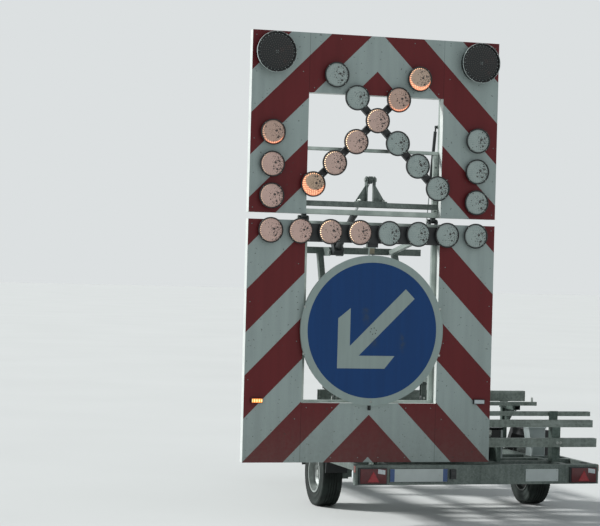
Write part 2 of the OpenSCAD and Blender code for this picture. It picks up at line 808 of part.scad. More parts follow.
rear_beam();
main_beams();
centre_beams();
side_rails();
cross_members();
front_beam();
drawbar();
drawbar_eye();
jockey_leg();
jockey_wheel();
axle();
mudguards();
tail_lights();
rear_plates();
plate_lamp();
rear_posts();
rear_rails();
cable_rail();
front_posts();
front_rails();
control_cabinet();
tool_box();
battery_box();
tyre(-1);  // tyre_left
rim(-1);  // rim_left
tyre(1);  // tyre_right
rim(1);  // rim_right
lower_panel_left();
lower_panel_right();
lower_panel_bottom();
lower_frame();
lamp_row_bar();
row_lamps();
sign_disc();
disc_rails();
marker_lights();
carriage_arms();
carriage_rollers();
trestle();
top_stays();
junction_box();
lower_hinges();
upper_panel_left();
upper_panel_right();
upper_panel_top();
upper_frame();
lamp_cross();
cross_lamps();
column_lamps();
flash_lamps();
clevis_bracket();
upper_hinges();
actuator_barrel();
actuator_rod();
strut_barrel();
strut_rod();
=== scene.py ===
import math

import bmesh
import bpy
from mathutils import Matrix, Vector


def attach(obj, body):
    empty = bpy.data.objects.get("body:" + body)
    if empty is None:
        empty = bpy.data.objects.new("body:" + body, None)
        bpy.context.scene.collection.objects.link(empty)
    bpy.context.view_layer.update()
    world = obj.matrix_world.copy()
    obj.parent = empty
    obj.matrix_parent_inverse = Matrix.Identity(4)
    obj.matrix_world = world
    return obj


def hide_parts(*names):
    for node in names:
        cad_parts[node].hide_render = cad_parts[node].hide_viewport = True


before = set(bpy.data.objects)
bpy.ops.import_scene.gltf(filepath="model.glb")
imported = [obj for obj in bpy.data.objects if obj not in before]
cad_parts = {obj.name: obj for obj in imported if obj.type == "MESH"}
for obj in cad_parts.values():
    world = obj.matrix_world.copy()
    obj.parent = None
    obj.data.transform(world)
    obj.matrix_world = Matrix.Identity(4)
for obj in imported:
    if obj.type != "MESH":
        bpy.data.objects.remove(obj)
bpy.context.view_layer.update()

# Camera, floor and light. The camera stands behind and to the left of the trailer, a little over
# head height, with a long lens and a slight roll. The floor is plain matt board, and the light is a
# wide soft sky with one soft lamp from the left, ahead of the board, and a weak wide one from behind.
scene = bpy.context.scene
scene.view_settings.view_transform = "Standard"
camera_place = Vector((-5.986, -18.459, 2.176))
camera_azimuth = math.radians(-16.651)
camera_roll = math.radians(1.493)
camera_tilt = math.radians(-0.026)
level = Vector((math.cos(camera_azimuth), math.sin(camera_azimuth), 0))
back = Vector((math.sin(camera_azimuth) * math.cos(camera_tilt),
               -math.cos(camera_azimuth) * math.cos(camera_tilt), math.sin(camera_tilt)))
upright = back.cross(level)
side_axis = level * math.cos(camera_roll) + upright * math.sin(camera_roll)
top_axis = upright * math.cos(camera_roll) - level * math.sin(camera_roll)
lens_data = bpy.data.cameras.new("photo_camera")
lens_data.sensor_fit = "HORIZONTAL"
lens_data.sensor_width = 36
lens_data.lens = 120
lens_data.clip_end = 400
camera = bpy.data.objects.new("photo_camera", lens_data)
camera.matrix_world = Matrix((side_axis, top_axis, back)).transposed().to_4x4()
camera.matrix_world.translation = camera_place
scene.collection.objects.link(camera)
scene.camera = camera


def colour(code):
    """An sRGB hex code as the linear colour that the shader takes."""
    parts = [int(code[i:i + 2], 16) / 255 for i in (1, 3, 5)]
    return [p / 12.92 if p <= 0.04045 else ((p + 0.055) / 1.055) ** 2.4 for p in parts] + [1.0]


def feed(tree, node, inputs):
    """Fills inputs: a socket, or another node's first output in use, is linked; a value is set."""
    for name, value in inputs.items():
        if isinstance(value, bpy.types.Node):
            value = next(socket for socket in value.outputs if socket.enabled)
        if isinstance(value, bpy.types.NodeSocket):
            tree.links.new(value, node.inputs[name])
        else:
            node.inputs[name].default_value = value


def put(tree, kind, inputs=(), **settings):
    """Adds one shader node with its settings and inputs; inputs 6 and 7 of a Mix are its two colours."""
    node = tree.nodes.new("ShaderNode" + kind)
    for name, value in settings.items():
        setattr(node, name, value)
    feed(tree, node, dict(inputs))
    return node


def finish_of(name, roughness, metallic=0.0, ior=1.5):
    """A new material with its surface shader and the piece's own coordinates in metres."""
    material = bpy.data.materials.new(name)
    material.use_nodes = True
    tree = material.node_tree
    surface = tree.nodes["Principled BSDF"]
    feed(tree, surface, {"Roughness": roughness, "Metallic": metallic, "IOR": ior})
    place = put(tree, "TexCoord").outputs["Object"]
    return material, tree, surface, place


floor_finish, tree, surface, place = finish_of("matt_floor_board", 0.9)
mottle = put(tree, "TexNoise", {"Vector": place, "Scale": 0.35, "Detail": 3.0})
tone = put(tree, "Mix", {"Factor": mottle, 6: colour("#BEC0BE"), 7: colour("#C7C9C7")}, data_type="RGBA")
feed(tree, surface, {"Base Color": tone})
floor_mesh = bpy.data.meshes.new("floor")
floor_half = 150
floor_corners = [(x * floor_half, y * floor_half, 0) for x, y in ((-1, -1), (1, -1), (1, 1), (-1, 1))]
floor_mesh.from_pydata(floor_corners, [], [(0, 1, 2, 3)])
floor_mesh.materials.append(floor_finish)
floor = bpy.data.objects.new("floor", floor_mesh)
scene.collection.objects.link(floor)

sky = bpy.data.worlds.new("studio_sky")
scene.world = sky
sky.use_nodes = True
sky_tree = sky.node_tree
sky_tree.nodes.clear()
ray = put(sky_tree, "LightPath")
seen = put(sky_tree, "Background", {"Color": colour("#DCE0E1"), "Strength": 1.0})
light = put(sky_tree, "Background", {"Color": colour("#E6EEF4"), "Strength": 0.50})
shows = ray.outputs["Is Camera Ray"]
for kind in ("Is Glossy Ray", "Is Transmission Ray"):
    shows = put(sky_tree, "Math", {0: shows, 1: ray.outputs[kind]}, operation="MAXIMUM")
both = put(sky_tree, "MixShader", {0: shows, 1: light, 2: seen})
put(sky_tree, "OutputWorld", {"Surface": both})
for name, toward, strength, softness in (("key_lamp", (0.80, -0.42, -0.55), 5.0, 0.18),
                                         ("fill_lamp", (-0.25, 0.95, -0.35), 0.25, 0.9)):
    lamp_data = bpy.data.lights.new(name, "SUN")
    lamp_data.energy = strength
    lamp_data.angle = softness
    lamp_object = bpy.data.objects.new(name, lamp_data)
    lamp_object.rotation_euler = Vector(toward).to_track_quat("-Z", "Y").to_euler()
    scene.collection.objects.link(lamp_object)

# Chassis. Hot-dip galvanised steel, folded and welded: a wide rear beam, two deep beams, side rails
# and cross tubes. The zinc gives a dull grey with a faint spangle, pale wash marks and grey drips.
CHASSIS = "chassis"


def on_trailer(x, y, z):
    """A trailer point in millimetres, from its centre line and the rear beam's rear face."""
    return Vector((x + 457, y - 2450, z)) / 1000


def zinc_steel(name, pale, dull, spangle_mm, metallic=0.55, roughness=0.55):
    """Weathered metal skin: crystals, broad dull clouds and thin vertical wash marks. Pale colours give
    hot-dip or plated zinc and silver paint; dark ones with a small grain give forged and cast steel."""
    material, tree, surface, place = finish_of(name, roughness, metallic)
    crystal = put(tree, "TexVoronoi", {"Vector": place, "Scale": 1000 / spangle_mm})
    crystal_tone = put(tree, "SeparateColor", {0: crystal.outputs["Color"]})
    weather = put(tree, "TexNoise", {"Vector": place, "Scale": 4.0, "Detail": 6.0, "Roughness": 0.6})
    stretch = put(tree, "Mapping", {0: place, "Scale": (34, 34, 2.5)})
    wash = put(tree, "TexNoise", {"Vector": stretch, "Scale": 1.0, "Detail": 3.0})
    mixed = put(tree, "Math", {0: crystal_tone.outputs["Red"], 1: 0.22}, operation="MULTIPLY")
    mixed = put(tree, "Math", {0: weather, 1: 0.75, 2: mixed}, operation="MULTIPLY_ADD")
    mixed = put(tree, "Math", {0: wash, 1: 0.45, 2: mixed}, operation="MULTIPLY_ADD")
    spread = put(tree, "MapRange", {"Value": mixed, "From Min": 0.45, "From Max": 1.05})
    tone = put(tree, "Mix", {"Factor": spread, 6: colour(dull), 7: colour(pale)}, data_type="RGBA")
    gloss = put(tree, "MapRange", {"Value": mixed, "From Min": 0.4, "From Max": 1.1,
                                   "To Min": roughness + 0.1, "To Max": roughness - 0.1})
    relief = put(tree, "Bump", {"Height": weather, "Strength": 0.08, "Distance": 0.002})
    feed(tree, surface, {"Base Color": tone, "Roughness": gloss, "Normal": relief})
    return material


def dress(material, *nodes):
    """Gives CAD nodes their finish."""
    for node in nodes:
        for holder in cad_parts[node].material_slots:
            holder.material = material


galvanised = zinc_steel("hot_dip_galvanised_steel", "#717B76", "#4B5551", 14)
dress(galvanised, "rear_beam", "main_beams", "centre_beams", "side_rails", "cross_members", "front_beam",
      "drawbar", "axle")
# The posts wear a darker copy of the galvanised finish, which is painted shade.
dress(zinc_steel("zinc_posts_painted_shade", "#5E6C66", "#394640", 14), "rear_posts", "front_posts")


def piece(name, form, material, body):
    """Turns a bmesh into an object with its finish, which rides on a body.
    Faces that meet at less than 35 degrees are shaded as one."""
    mesh = bpy.data.meshes.new(name)
    bmesh.ops.recalc_face_normals(form, faces=form.faces)
    form.to_mesh(mesh)
    form.free()
    mesh.polygons.foreach_set("use_smooth", [True] * len(mesh.polygons))
    mesh.set_sharp_from_angle(angle=math.radians(35))
    for finish in material if isinstance(material, (list, tuple)) else [material]:
        mesh.materials.append(finish)
    thing = bpy.data.objects.new(name, mesh)
    scene.collection.objects.link(thing)
    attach(thing, body)
    return thing


def add_block(form, low, high, soft=0.0, finish=0):
    """Adds a block between two corners in metres, with its edges rounded by soft."""
    made = bmesh.ops.create_cube(form, size=1.0)["verts"]
    low, high = Vector(low), Vector(high)
    for vert in made:
        vert.co = Vector([(low[i] + high[i]) / 2 + vert.co[i] * abs(high[i] - low[i]) for i in range(3)])
    faces = {face for vert in made for face in vert.link_faces}
    for face in faces:
        face.material_index = finish
    if soft:
        edges = list({edge for vert in made for edge in vert.link_edges})
        rounded = bmesh.ops.bevel(form, geom=edges, offset=soft, segments=2, profile=0.6, affect="EDGES",
                                  clamp_overlap=True)
        for face in rounded["faces"]:
            face.material_index = finish


def add_turned(form, profile, centre, axis, steps=24, finish=0):
    """Adds a turned shape: profile is (radius, height) pairs along the axis, in metres."""
    turn = Vector((0, 0, 1)).rotation_difference(Vector(axis).normalized()).to_matrix()
    centre = Vector(centre)
    rings = []
    for radius, height in profile:
        turns = [2 * math.pi * i / steps for i in range(1 if radius < 1e-6 else steps)]
        spots = [Vector((radius * math.cos(angle), radius * math.sin(angle), height)) for angle in turns]
        rings.append([form.verts.new(centre + turn @ spot) for spot in spots])
    for low, high in zip(rings, rings[1:]):
        for i in range(steps):
            places = ((low, i), (low, i + 1), (high, i + 1), (high, i))
            corners = list(dict.fromkeys(ring[j % len(ring)] for ring, j in places))
            if len(corners) > 2:
                form.faces.new(corners).material_index = finish
    for ring in (rings[0], rings[-1]):
        if len(ring) > 2 and profile[0] != profile[-1]:
            form.faces.new(ring).material_index = finish


def closed(profile):
    """A ring's profile that runs back to its start, so that the ring stays open in the middle."""
    return profile + profile[:1]


def add_bolt(form, place, axis, across):
    """Adds a hexagon head on its washer; across is the width over the flats in metres."""
    corner = 1 / math.sqrt(3)
    washer = [(0, 0), (0.92, 0), (0.92, 0.12), (0, 0.12)]
    nut = [(0, 0.12), (corner, 0.12), (corner, 0.68), (corner * 0.88, 0.78), (0, 0.78)]
    shank = [(0, 0.7), (0.3, 0.7), (0.3, 1.0), (0.24, 1.08), (0, 1.08)]
    for profile, steps in ((washer, 20), (nut, 6), (shank, 12)):
        profile = [(radius * across, height * across) for radius, height in profile]
        add_turned(form, profile, place, axis, steps)


bright_zinc = zinc_steel("zinc_plated_fasteners", "#B4B9B4", "#868C88", 30, 0.8, 0.38)
chassis_bolts = bmesh.new()
for side in (-1, 1):
    for y in (276, 344):
        add_bolt(chassis_bolts, on_trailer(side * 870, y, 460), (side, 0, 0), 0.015)
    for y in (1411, 1487):
        add_bolt(chassis_bolts, on_trailer(side * 815, y, 498), (0, 0, 1), 0.015)
piece("chassis_bolts", chassis_bolts, bright_zinc, CHASSIS)

# Rear lamps and plates. Moulded black lamp housings with a ribbed red lens, a red triangle and a clear
# reversing lens; a bare number plate with its blue end bands, and a bare white plate. All of them are
# bolted to the beam, with small marker lamps and reflectors at its ends.
SIDES = ((-1, "left"), (1, "right"))


def add_grain(tree, surface, place, scale, strength, distance, detail=2.0):
    """Fine relief from a mould, a spray or grit, which breaks up the gloss; scale is grains per metre."""
    grain = put(tree, "TexNoise", {"Vector": place, "Scale": scale, "Detail": detail})
    relief = put(tree, "Bump", {"Height": grain, "Strength": strength, "Distance": distance})
    feed(tree, surface, {"Normal": relief})


def plastic(name, code, roughness=0.45, grain_mm=1.5, depth=0.15):
    """Moulded plastic: one colour with a faint mottle and a fine grain from the mould."""
    material, tree, surface, place = finish_of(name, roughness, ior=1.49)
    base = colour(code)[:3]
    darker, paler = [c * 0.82 for c in base] + [1], [min(1, c * 1.2 + 0.004) for c in base] + [1]
    mottle = put(tree, "TexNoise", {"Vector": place, "Scale": 9.0, "Detail": 4.0})
    tone = put(tree, "Mix", {"Factor": mottle, 6: darker, 7: paler}, data_type="RGBA")
    feed(tree, surface, {"Base Color": tone})
    add_grain(tree, surface, place, 1000 / grain_mm, depth, 0.0004)
    return material


black_moulding = plastic("black_moulded_plastic", "#1D2122")
red_lens = plastic("red_acrylic_lens", "#541519", 0.3, 6, 0.4)
triangle_red = plastic("red_prism_reflector", "#8E1D24", 0.25, 4, 0.5)
clear_lens = plastic("clear_acrylic_lens", "#B9C2C4", 0.15, 5, 0.4)
plate_white = plastic("bare_plate_enamel", "#A7B0AE", 0.35, 20, 0.05)
plate_blue = plastic("blue_plate_band", "#2D4A78", 0.35, 20, 0.05)
dress(black_moulding, "tail_lights", "plate_lamp")
dress(plate_white, "rear_plates")
LAMP_X, LAMP_Z = 968, 400
RIBS, RIB_PITCH, RIB_WIDTH, RIB_HALF = 22, 10.5, 9.6, 61
for side, hand in SIDES:
    lenses = bmesh.new()
    for i in range(RIBS):
        x = side * LAMP_X - 114 + i * RIB_PITCH
        add_block(lenses, on_trailer(x, -31, LAMP_Z - RIB_HALF),
                  on_trailer(x + RIB_WIDTH, -20, LAMP_Z + RIB_HALF), 0.0016)
    piece("tail_lens_" + hand, lenses, red_lens, CHASSIS)
    reflector = bmesh.new()
    for inset, proud in ((0, -33.5), (9, -35)):
        half, low, high = 52 - inset, -50 + inset * 0.6, 42 - inset * 1.3
        corners = [(-half, low), (half, low), (0, high)]
        front, rear = [[reflector.verts.new(on_trailer(side * LAMP_X + x, y, LAMP_Z + z))
                        for x, z in corners] for y in (proud, -22)]
        reflector.faces.new(front)
        for i in range(3):
            reflector.faces.new((front[i], front[(i + 1) % 3], rear[(i + 1) % 3], rear[i]))
    piece("tail_triangle_" + hand, reflector, triangle_red, CHASSIS)
    reversing = bmesh.new()
    for i in range(5):
        x, z = side * LAMP_X + 40 + i * 13, LAMP_Z + 22 - i * 2
        add_block(reversing, on_trailer(x, -34, z), on_trailer(x + 12, -21, z + 38), 0.002)
    piece("reversing_lens_" + hand, reversing, clear_lens, CHASSIS)
bands = bmesh.new()
for x in (-810, -332):
    add_block(bands, on_trailer(x, -4.6, 349.5), on_trailer(x + 40, -3.5, 456.5))
piece("plate_bands", bands, plate_blue, CHASSIS)
plate_edge = bmesh.new()
for low, high in (((-814, 345), (-288, 348)), ((-814, 458), (-288, 461)), ((-814, 345), (-811, 461)),
                  ((-291, 345), (-288, 461))):
    add_block(plate_edge, on_trailer(low[0], -6, low[1]), on_trailer(high[0], 0, high[1]), 0.0008)
for x in (-261, -229):
    for z in (384, 443):
        add_turned(plate_edge, [(0, 0), (0.005, 0), (0.004, 0.002), (0, 0.003)], on_trailer(x, -30, z),
                   (0, -1, 0), 12)
add_block(plate_edge, on_trailer(-264, -33, 392), on_trailer(-226, -29, 434), 0.002)
piece("plate_frame", plate_edge, black_moulding, CHASSIS)
plate_rivets = bmesh.new()
for x, z in ((-740, 403), (-362, 403), (446, 438), (724, 438), (446, 360), (724, 360)):
    add_turned(plate_rivets, [(0, 0), (0.0055, 0), (0.0045, 0.0022), (0, 0.003)], on_trailer(x, -4, z),
               (0, -1, 0), 14)
piece("plate_rivets", plate_rivets, bright_zinc, CHASSIS)
reflex_pink = plastic("pink_side_reflector", "#B06A5E", 0.25, 5, 0.4)
end_marks = bmesh.new()
for side in (-1, 1):
    add_block(end_marks, on_trailer(side * 1117.5, 4, 428), on_trailer(side * 1124, 40, 484), 0.002)
piece("beam_end_reflectors", end_marks, reflex_pink, CHASSIS)
marker_white, marker_red = bmesh.new(), bmesh.new()
for side in (-1, 1):
    add_block(marker_white, on_trailer(side * 1071, 92, 372), on_trailer(side * 1105, 140, 434), 0.003)
    add_block(marker_red, on_trailer(side * 1074, 88, 376), on_trailer(side * 1102, 94, 431), 0.002)
piece("side_marker_bodies", marker_white, clear_lens, CHASSIS)
piece("side_marker_red", marker_red, red_lens, CHASSIS)

# Wheels. Worn rubber tyres with a dusty side wall, on silver steel rims with round vents, five nuts
# and a pressed cap; brake dust and painted shade darken the vents and the rim's inner side. They spin on
# the stubs of a square axle.
def rubber(name, code, dust):
    """Tyre rubber: matt black with a grey cloud of road dust."""
    material, tree, surface, place = finish_of(name, 0.85, ior=1.4)
    cloud = put(tree, "TexNoise", {"Vector": place, "Scale": 7.0, "Detail": 5.0, "Roughness": 0.65})
    amount = put(tree, "MapRange", {"Value": cloud, "From Min": 0.4, "From Max": 0.75})
    tone = put(tree, "Mix", {"Factor": amount, 6: colour(code), 7: colour(dust)}, data_type="RGBA")
    feed(tree, surface, {"Base Color": tone})
    add_grain(tree, surface, place, 420.0, 0.3, 0.0006)
    return material


def around(count, radius, start=0.0):
    """Evenly spaced places on a circle, as pairs of sizes; start is in degrees."""
    turns = [math.radians(start) + 2 * math.pi * i / count for i in range(count)]
    return [(radius * math.cos(turn), radius * math.sin(turn)) for turn in turns]


tyre_rubber = rubber("worn_tyre_rubber", "#101614", "#26302C")
WHEEL_Y, WHEEL_Z = 1245, 292
TYRE_X, TREAD_HALF, HUB_FACE, NUT_CIRCLE = 1010, 79, 1034, 75
# Brake dust lies over the rim's dish, thickest round the vents, the nuts and the cap; the dark bands round
# the vents and the dark inner side of the rim are painted shade as well. The sizes below are radii about
# the hub, in metres.
rim_silver = zinc_steel("silver_rim_enamel", "#B6BCB8", "#868D8A", 60, 0.5, 0.45)
tree = rim_silver.node_tree
surface = tree.nodes["Principled BSDF"]
silver_tone = surface.inputs["Base Color"].links[0].from_socket
place = put(tree, "TexCoord").outputs["Object"]
hub_middle = on_trailer(0, WHEEL_Y, WHEEL_Z)
from_hub = put(tree, "VectorMath", {0: place, 1: (0, hub_middle.y, hub_middle.z)}, operation="SUBTRACT")
from_hub = put(tree, "VectorMath", {0: from_hub, 1: (0, 1, 1)}, operation="MULTIPLY")
from_hub = put(tree, "VectorMath", {0: from_hub}, operation="LENGTH")
smear = put(tree, "TexNoise", {"Vector": place, "Scale": 30.0, "Detail": 4.0})
dust = put(tree, "MapRange", {"Value": from_hub, "From Min": 0.115, "From Max": 0.150, "To Min": 0.6,
                              "To Max": 0.0})
# The band round the vents is brake dust and painted shade.
for middle, half in ((0.138, 0.020), (0.090, 0.012), (0.056, 0.008)):
    away = put(tree, "Math", {0: from_hub, 1: middle}, operation="SUBTRACT")
    away = put(tree, "Math", {0: away}, operation="ABSOLUTE")
    band = put(tree, "MapRange", {"Value": away, "From Min": half * 0.5, "From Max": half, "To Min": 1.0,
                                  "To Max": 0.0})
    dust = put(tree, "Math", {0: dust, 1: band}, operation="MAXIMUM")
dust = put(tree, "Math", {0: dust, 1: smear}, operation="MULTIPLY")
dust = put(tree, "MapRange", {"Value": dust, "From Max": 0.6, "To Max": 0.85})
rim_axes = put(tree, "SeparateXYZ", {0: place})
# The whole inner side of the rim is darkened: painted shade.
inner_side_shade = put(tree, "Math", {0: rim_axes.outputs["X"], 1: hub_middle.x}, operation="SUBTRACT")
inner_side_shade = put(tree, "Math", {0: inner_side_shade}, operation="ABSOLUTE")
inner_side_shade = put(tree, "MapRange", {"Value": inner_side_shade, "From Min": 0.955, "From Max": 0.985, "To Min": 0.9,
                                "To Max": 0.0})
dust = put(tree, "Math", {0: dust, 1: inner_side_shade}, operation="MAXIMUM")
tone = put(tree, "Mix", {"Factor": dust, 6: silver_tone, 7: colour("#2A2D2B")}, data_type="RGBA")
feed(tree, surface, {"Base Color": tone})
dress(tyre_rubber, "tyre_left", "tyre_right")
dress(rim_silver, "rim_left", "rim_right")
# The brake drum is real; its very dark iron also stands for painted shade seen through the vents.
drum_iron_and_vent_shade = zinc_steel("rusty_cast_iron_drum_and_vent_shade", "#2E2A27", "#17181A", 9, 0.3, 0.75)
for side, hand in SIDES:
    fittings = bmesh.new()
    for y, z in around(5, NUT_CIRCLE, 126):
        add_bolt(fittings, on_trailer(side * HUB_FACE, WHEEL_Y + y, WHEEL_Z + z), (side, 0, 0), 0.019)
    add_turned(fittings, [(0.034, -0.004), (0.034, 0.026), (0.031, 0.034), (0.016, 0.038), (0, 0.038)],
               on_trailer(side * HUB_FACE, WHEEL_Y, WHEEL_Z), (side, 0, 0), 32)
    piece("wheel_nuts_" + hand, fittings, bright_zinc, "wheel_" + hand)
    drum = bmesh.new()
    shell = [(0.058, -0.052), (0.128, -0.052), (0.132, -0.048), (0.132, -0.004), (0.128, 0.0), (0.058, 0.0)]
    add_turned(drum, closed(shell), on_trailer(side * TYRE_X, WHEEL_Y, WHEEL_Z), (side, 0, 0), 48)
    for y, z in around(24, 133.5):
        add_turned(drum, [(0.003, 0), (0.003, 0.04)],
                   on_trailer(side * (TYRE_X - 46), WHEEL_Y + y, WHEEL_Z + z), (side, 0, 0), 6)
    piece("brake_drum_" + hand, drum, drum_iron_and_vent_shade, "wheel_" + hand)
    shoulder = bmesh.new()
    for y, z in around(72, 1.0):
        outward, onward = Vector((0, y, z)), Vector((0, -z, y))
        for edge in (-1, 1):
            middle = on_trailer(side * TYRE_X + edge * TREAD_HALF, WHEEL_Y, WHEEL_Z) + outward * 0.2825
            for vert in bmesh.ops.create_cube(shoulder, size=1.0)["verts"]:
                block = Vector((vert.co.x * 0.018, 0, 0))
                vert.co = middle + block + outward * vert.co.y * 0.009 + onward * vert.co.z * 0.015
    piece("tread_shoulders_" + hand, shoulder, tyre_rubber, "wheel_" + hand)
guard_plastic = plastic("mudguard_polyethylene", "#0E1213", 0.7, 2.5, 0.3)
dress(guard_plastic, "mudguards")
guard_bolts = bmesh.new()
GUARD_HALF = 357.5
for side in (-1, 1):
    for y in (WHEEL_Y - GUARD_HALF, WHEEL_Y + GUARD_HALF):
        for x in (855, 890):
            add_bolt(guard_bolts, on_trailer(side * x, y, 470), (0, 0, 1), 0.013)
piece("mudguard_bolts", guard_bolts, bright_zinc, CHASSIS)

# Towing gear. A forged eye on the drawbar's head, and a zinc-plated support leg with its crank and
# solid rubber wheel, clamped beside the drawbar.
forged = zinc_steel("forged_steel_oiled", "#3B3E3D", "#242726", 8, 0.6, 0.5)
leg_zinc = zinc_steel("zinc_plated_tube", "#A9AEA9", "#7F8580", 40, 0.75, 0.4)
dress(forged, "drawbar_eye")
dress(leg_zinc, "jockey_leg")
dress(rubber("solid_rubber_wheel", "#1B1E1F", "#303434"), "jockey_wheel")
tow_bolts = bmesh.new()
for side in (-1, 1):
    for z in (366, 414):
        add_bolt(tow_bolts, on_trailer(side * 62, 4700, z), (0, 1, 0), 0.019)
    for y in (4590, 4670):
        add_bolt(tow_bolts, on_trailer(side * 95, y, 390), (side, 0, 0), 0.017)
add_turned(tow_bolts, [(0, 0), (0.009, 0), (0.009, 0.05), (0.014, 0.055), (0.014, 0.07), (0, 0.072)],
           on_trailer(185, 4290, 395), (0, -1, 0), 16)
for z in (420, 560, 640):
    add_turned(tow_bolts, closed([(0.0305, 0), (0.033, 0.002), (0.033, 0.01), (0.0305, 0.012)]),
               on_trailer(185, 4320, z), (0, 0, 1), 24)
piece("towing_fasteners", tow_bolts, bright_zinc, CHASSIS)

# Slide rails. Galvanised box tubes across the trailer, two behind on the rear posts with an open
# channel beside them and two ahead of the axle; the rollers have worn bright lines along them.
def rail_finish(name):
    """Galvanised tube worn by rollers: zinc grey with long bright scuffs along the tube."""
    material = zinc_steel(name, "#838D88", "#566059", 18, 0.55, 0.55)
    tree = material.node_tree
    surface = tree.nodes["Principled BSDF"]
    before = surface.inputs["Base Color"].links[0].from_socket
    place = put(tree, "TexCoord").outputs["Object"]
    stretch = put(tree, "Mapping", {0: place, "Scale": (1.2, 130, 130)})
    scuff = put(tree, "TexNoise", {"Vector": stretch, "Scale": 1.0, "Detail": 3.0})
    amount = put(tree, "MapRange", {"Value": scuff, "From Min": 0.55, "From Max": 0.72, "To Max": 0.55})
    tone = put(tree, "Mix", {"Factor": amount, 6: before, 7: colour("#9CA49F")}, data_type="RGBA")
    feed(tree, surface, {"Base Color": tone})
    return material


rail_steel = rail_finish("roller_worn_rail")
dress(rail_steel, "rear_rails", "cable_rail", "front_rails")
rail_fittings = bmesh.new()
for side in (-1, 1):
    for x in (815, 845):
        add_bolt(rail_fittings, on_trailer(side * x, 204.8, 660), (0, -1, 0), 0.013)
        add_bolt(rail_fittings, on_trailer(side * x, 386.2, 904), (0, 1, 0), 0.011)
    for y in (1160, 1450):
        add_bolt(rail_fittings, on_trailer(side * 815, y, 876.8), (0, 0, -1), 0.013)
    add_block(rail_fittings, on_trailer(side * 968, 1148, 950), on_trailer(side * 980, 1172, 992), 0.002)
piece("rail_bolts", rail_fittings, bright_zinc, CHASSIS)

# Boxes on the deck. A black steel tool box and a grey control cabinet behind the axle, and the grey
# battery box ahead of it: powder-coated sheet with overhanging lids, latches, hinges and louvres.
def powder_coat(name, code, chalk, roughness=0.55):
    """Powder coat: even colour with fine orange peel and chalky, dusty patches."""
    material, tree, surface, place = finish_of(name, roughness)
    cloud = put(tree, "TexNoise", {"Vector": place, "Scale": 5.0, "Detail": 5.0})
    amount = put(tree, "MapRange", {"Value": cloud, "From Min": 0.35, "From Max": 0.8})
    tone = put(tree, "Mix", {"Factor": amount, 6: colour(code), 7: colour(chalk)}, data_type="RGBA")
    feed(tree, surface, {"Base Color": tone})
    add_grain(tree, surface, place, 260.0, 0.12, 0.0005, 1.0)
    return material


grey_coat = powder_coat("grey_powder_coat", "#8B9797", "#9CA7A5")
# The cabinet has a paler copy of the grey coat: painted light that lifts it out of the shade under the
# deck.
cabinet_coat_painted_light = powder_coat("grey_powder_coat_painted_light", "#9AA6A4", "#AAB4B2")
pale_coat = powder_coat("pale_grey_powder_coat", "#A9B2B1", "#BCC4C2")
# The door and the louvres take a darker copy of the grey coat: painted shade.
door_painted_shade = powder_coat("grey_door_painted_shade", "#8E9A97", "#9AA6A3")
black_coat = powder_coat("black_powder_coat", "#1B1E1F", "#2B2F30")
dress(grey_coat, "battery_box")
dress(cabinet_coat_painted_light, "control_cabinet")
dress(black_coat, "tool_box")
latches = bmesh.new()
for low_x, high_x, face_y, top_z in ((-85, 387, 444, 745), (-400, 400, 2340, 832)):
    for share in (0.25, 0.75):
        x = low_x + (high_x - low_x) * share
        add_block(latches, on_trailer(x - 16, face_y - 7, top_z - 40),
                  on_trailer(x + 16, face_y, top_z + 8), 0.003)
        add_block(latches, on_trailer(x - 9, face_y - 13, top_z - 52),
                  on_trailer(x + 9, face_y - 6, top_z - 8), 0.004)
        add_turned(latches, [(0, 0), (0.006, 0), (0.006, 0.004), (0, 0.004)],
                   on_trailer(x, face_y - 7, top_z + 1), (0, -1, 0), 12)
piece("box_latches", latches, bright_zinc, CHASSIS)
seams = bmesh.new()
door_frame = bmesh.new()
add_block(seams, on_trailer(804, 717, 502), on_trailer(910, 721, 600), 0.002)
for low, high in (((796, 494), (806, 612)), ((908, 494), (918, 612)), ((796, 602), (918, 612)),
                  ((796, 494), (918, 503))):
    add_block(door_frame, on_trailer(low[0], 712, low[1]), on_trailer(high[0], 721, high[1]), 0.002)
for z in (620, 716):
    add_block(door_frame, on_trailer(908, 714, z - 14), on_trailer(920, 719.5, z + 14), 0.002)
for low, high in (((-91, 444, 752), (393, 447, 772)), ((375, 441, 500), (393, 451, 752)),
                  ((-93, 441, 500), (-75, 451, 752))):
    add_block(door_frame, on_trailer(*low), on_trailer(*high), 0.0015)
piece("box_edge_trims", door_frame, pale_coat, CHASSIS)
for y in range(2430, 2430 + 9 * 42, 42):
    for x in (-401, 401):
        add_block(seams, on_trailer(x - 2, y, 640), on_trailer(x + 2, y + 20, 760), 0.0012)
piece("cabinet_door_and_louvres", seams, door_painted_shade, CHASSIS)
straps = bmesh.new()
for x in (-260, 260):
    for low, high in (((2338, 520), (2341, 864)), ((2338, 860.2), (2862, 863.5)),
                      ((2859, 520), (2862, 864))):
        add_block(straps, on_trailer(x - 15, *low), on_trailer(x + 15, *high), 0.001)
piece("battery_straps", straps, leg_zinc, CHASSIS)

# Board panels. Folded aluminium trays faced with red and white retroreflective film in chevrons that
# climb to the middle, riveted to the frame; road dirt streaks the film, and the folded edges are bare.
BOARD_X, LOWER_Z, UPPER_Z = -0.547, 0.513, 2.599
STRIPE_RISE, SEAM_X, TRAY_FILM_END = 0.3536, 0.6, -2.4195


def on_board(u, y, z):
    """A point on the lower board in millimetres, from the board's middle and its lower edge."""
    return Vector((u / 1000 + BOARD_X, (y - 2450) / 1000, z / 1000 + LOWER_Z))


def on_upper(u, y, z):
    """A point on the upper board in millimetres, from its middle and its lower edge."""
    return Vector((u / 1000 + BOARD_X, (y - 2450) / 1000, z / 1000 + UPPER_Z))


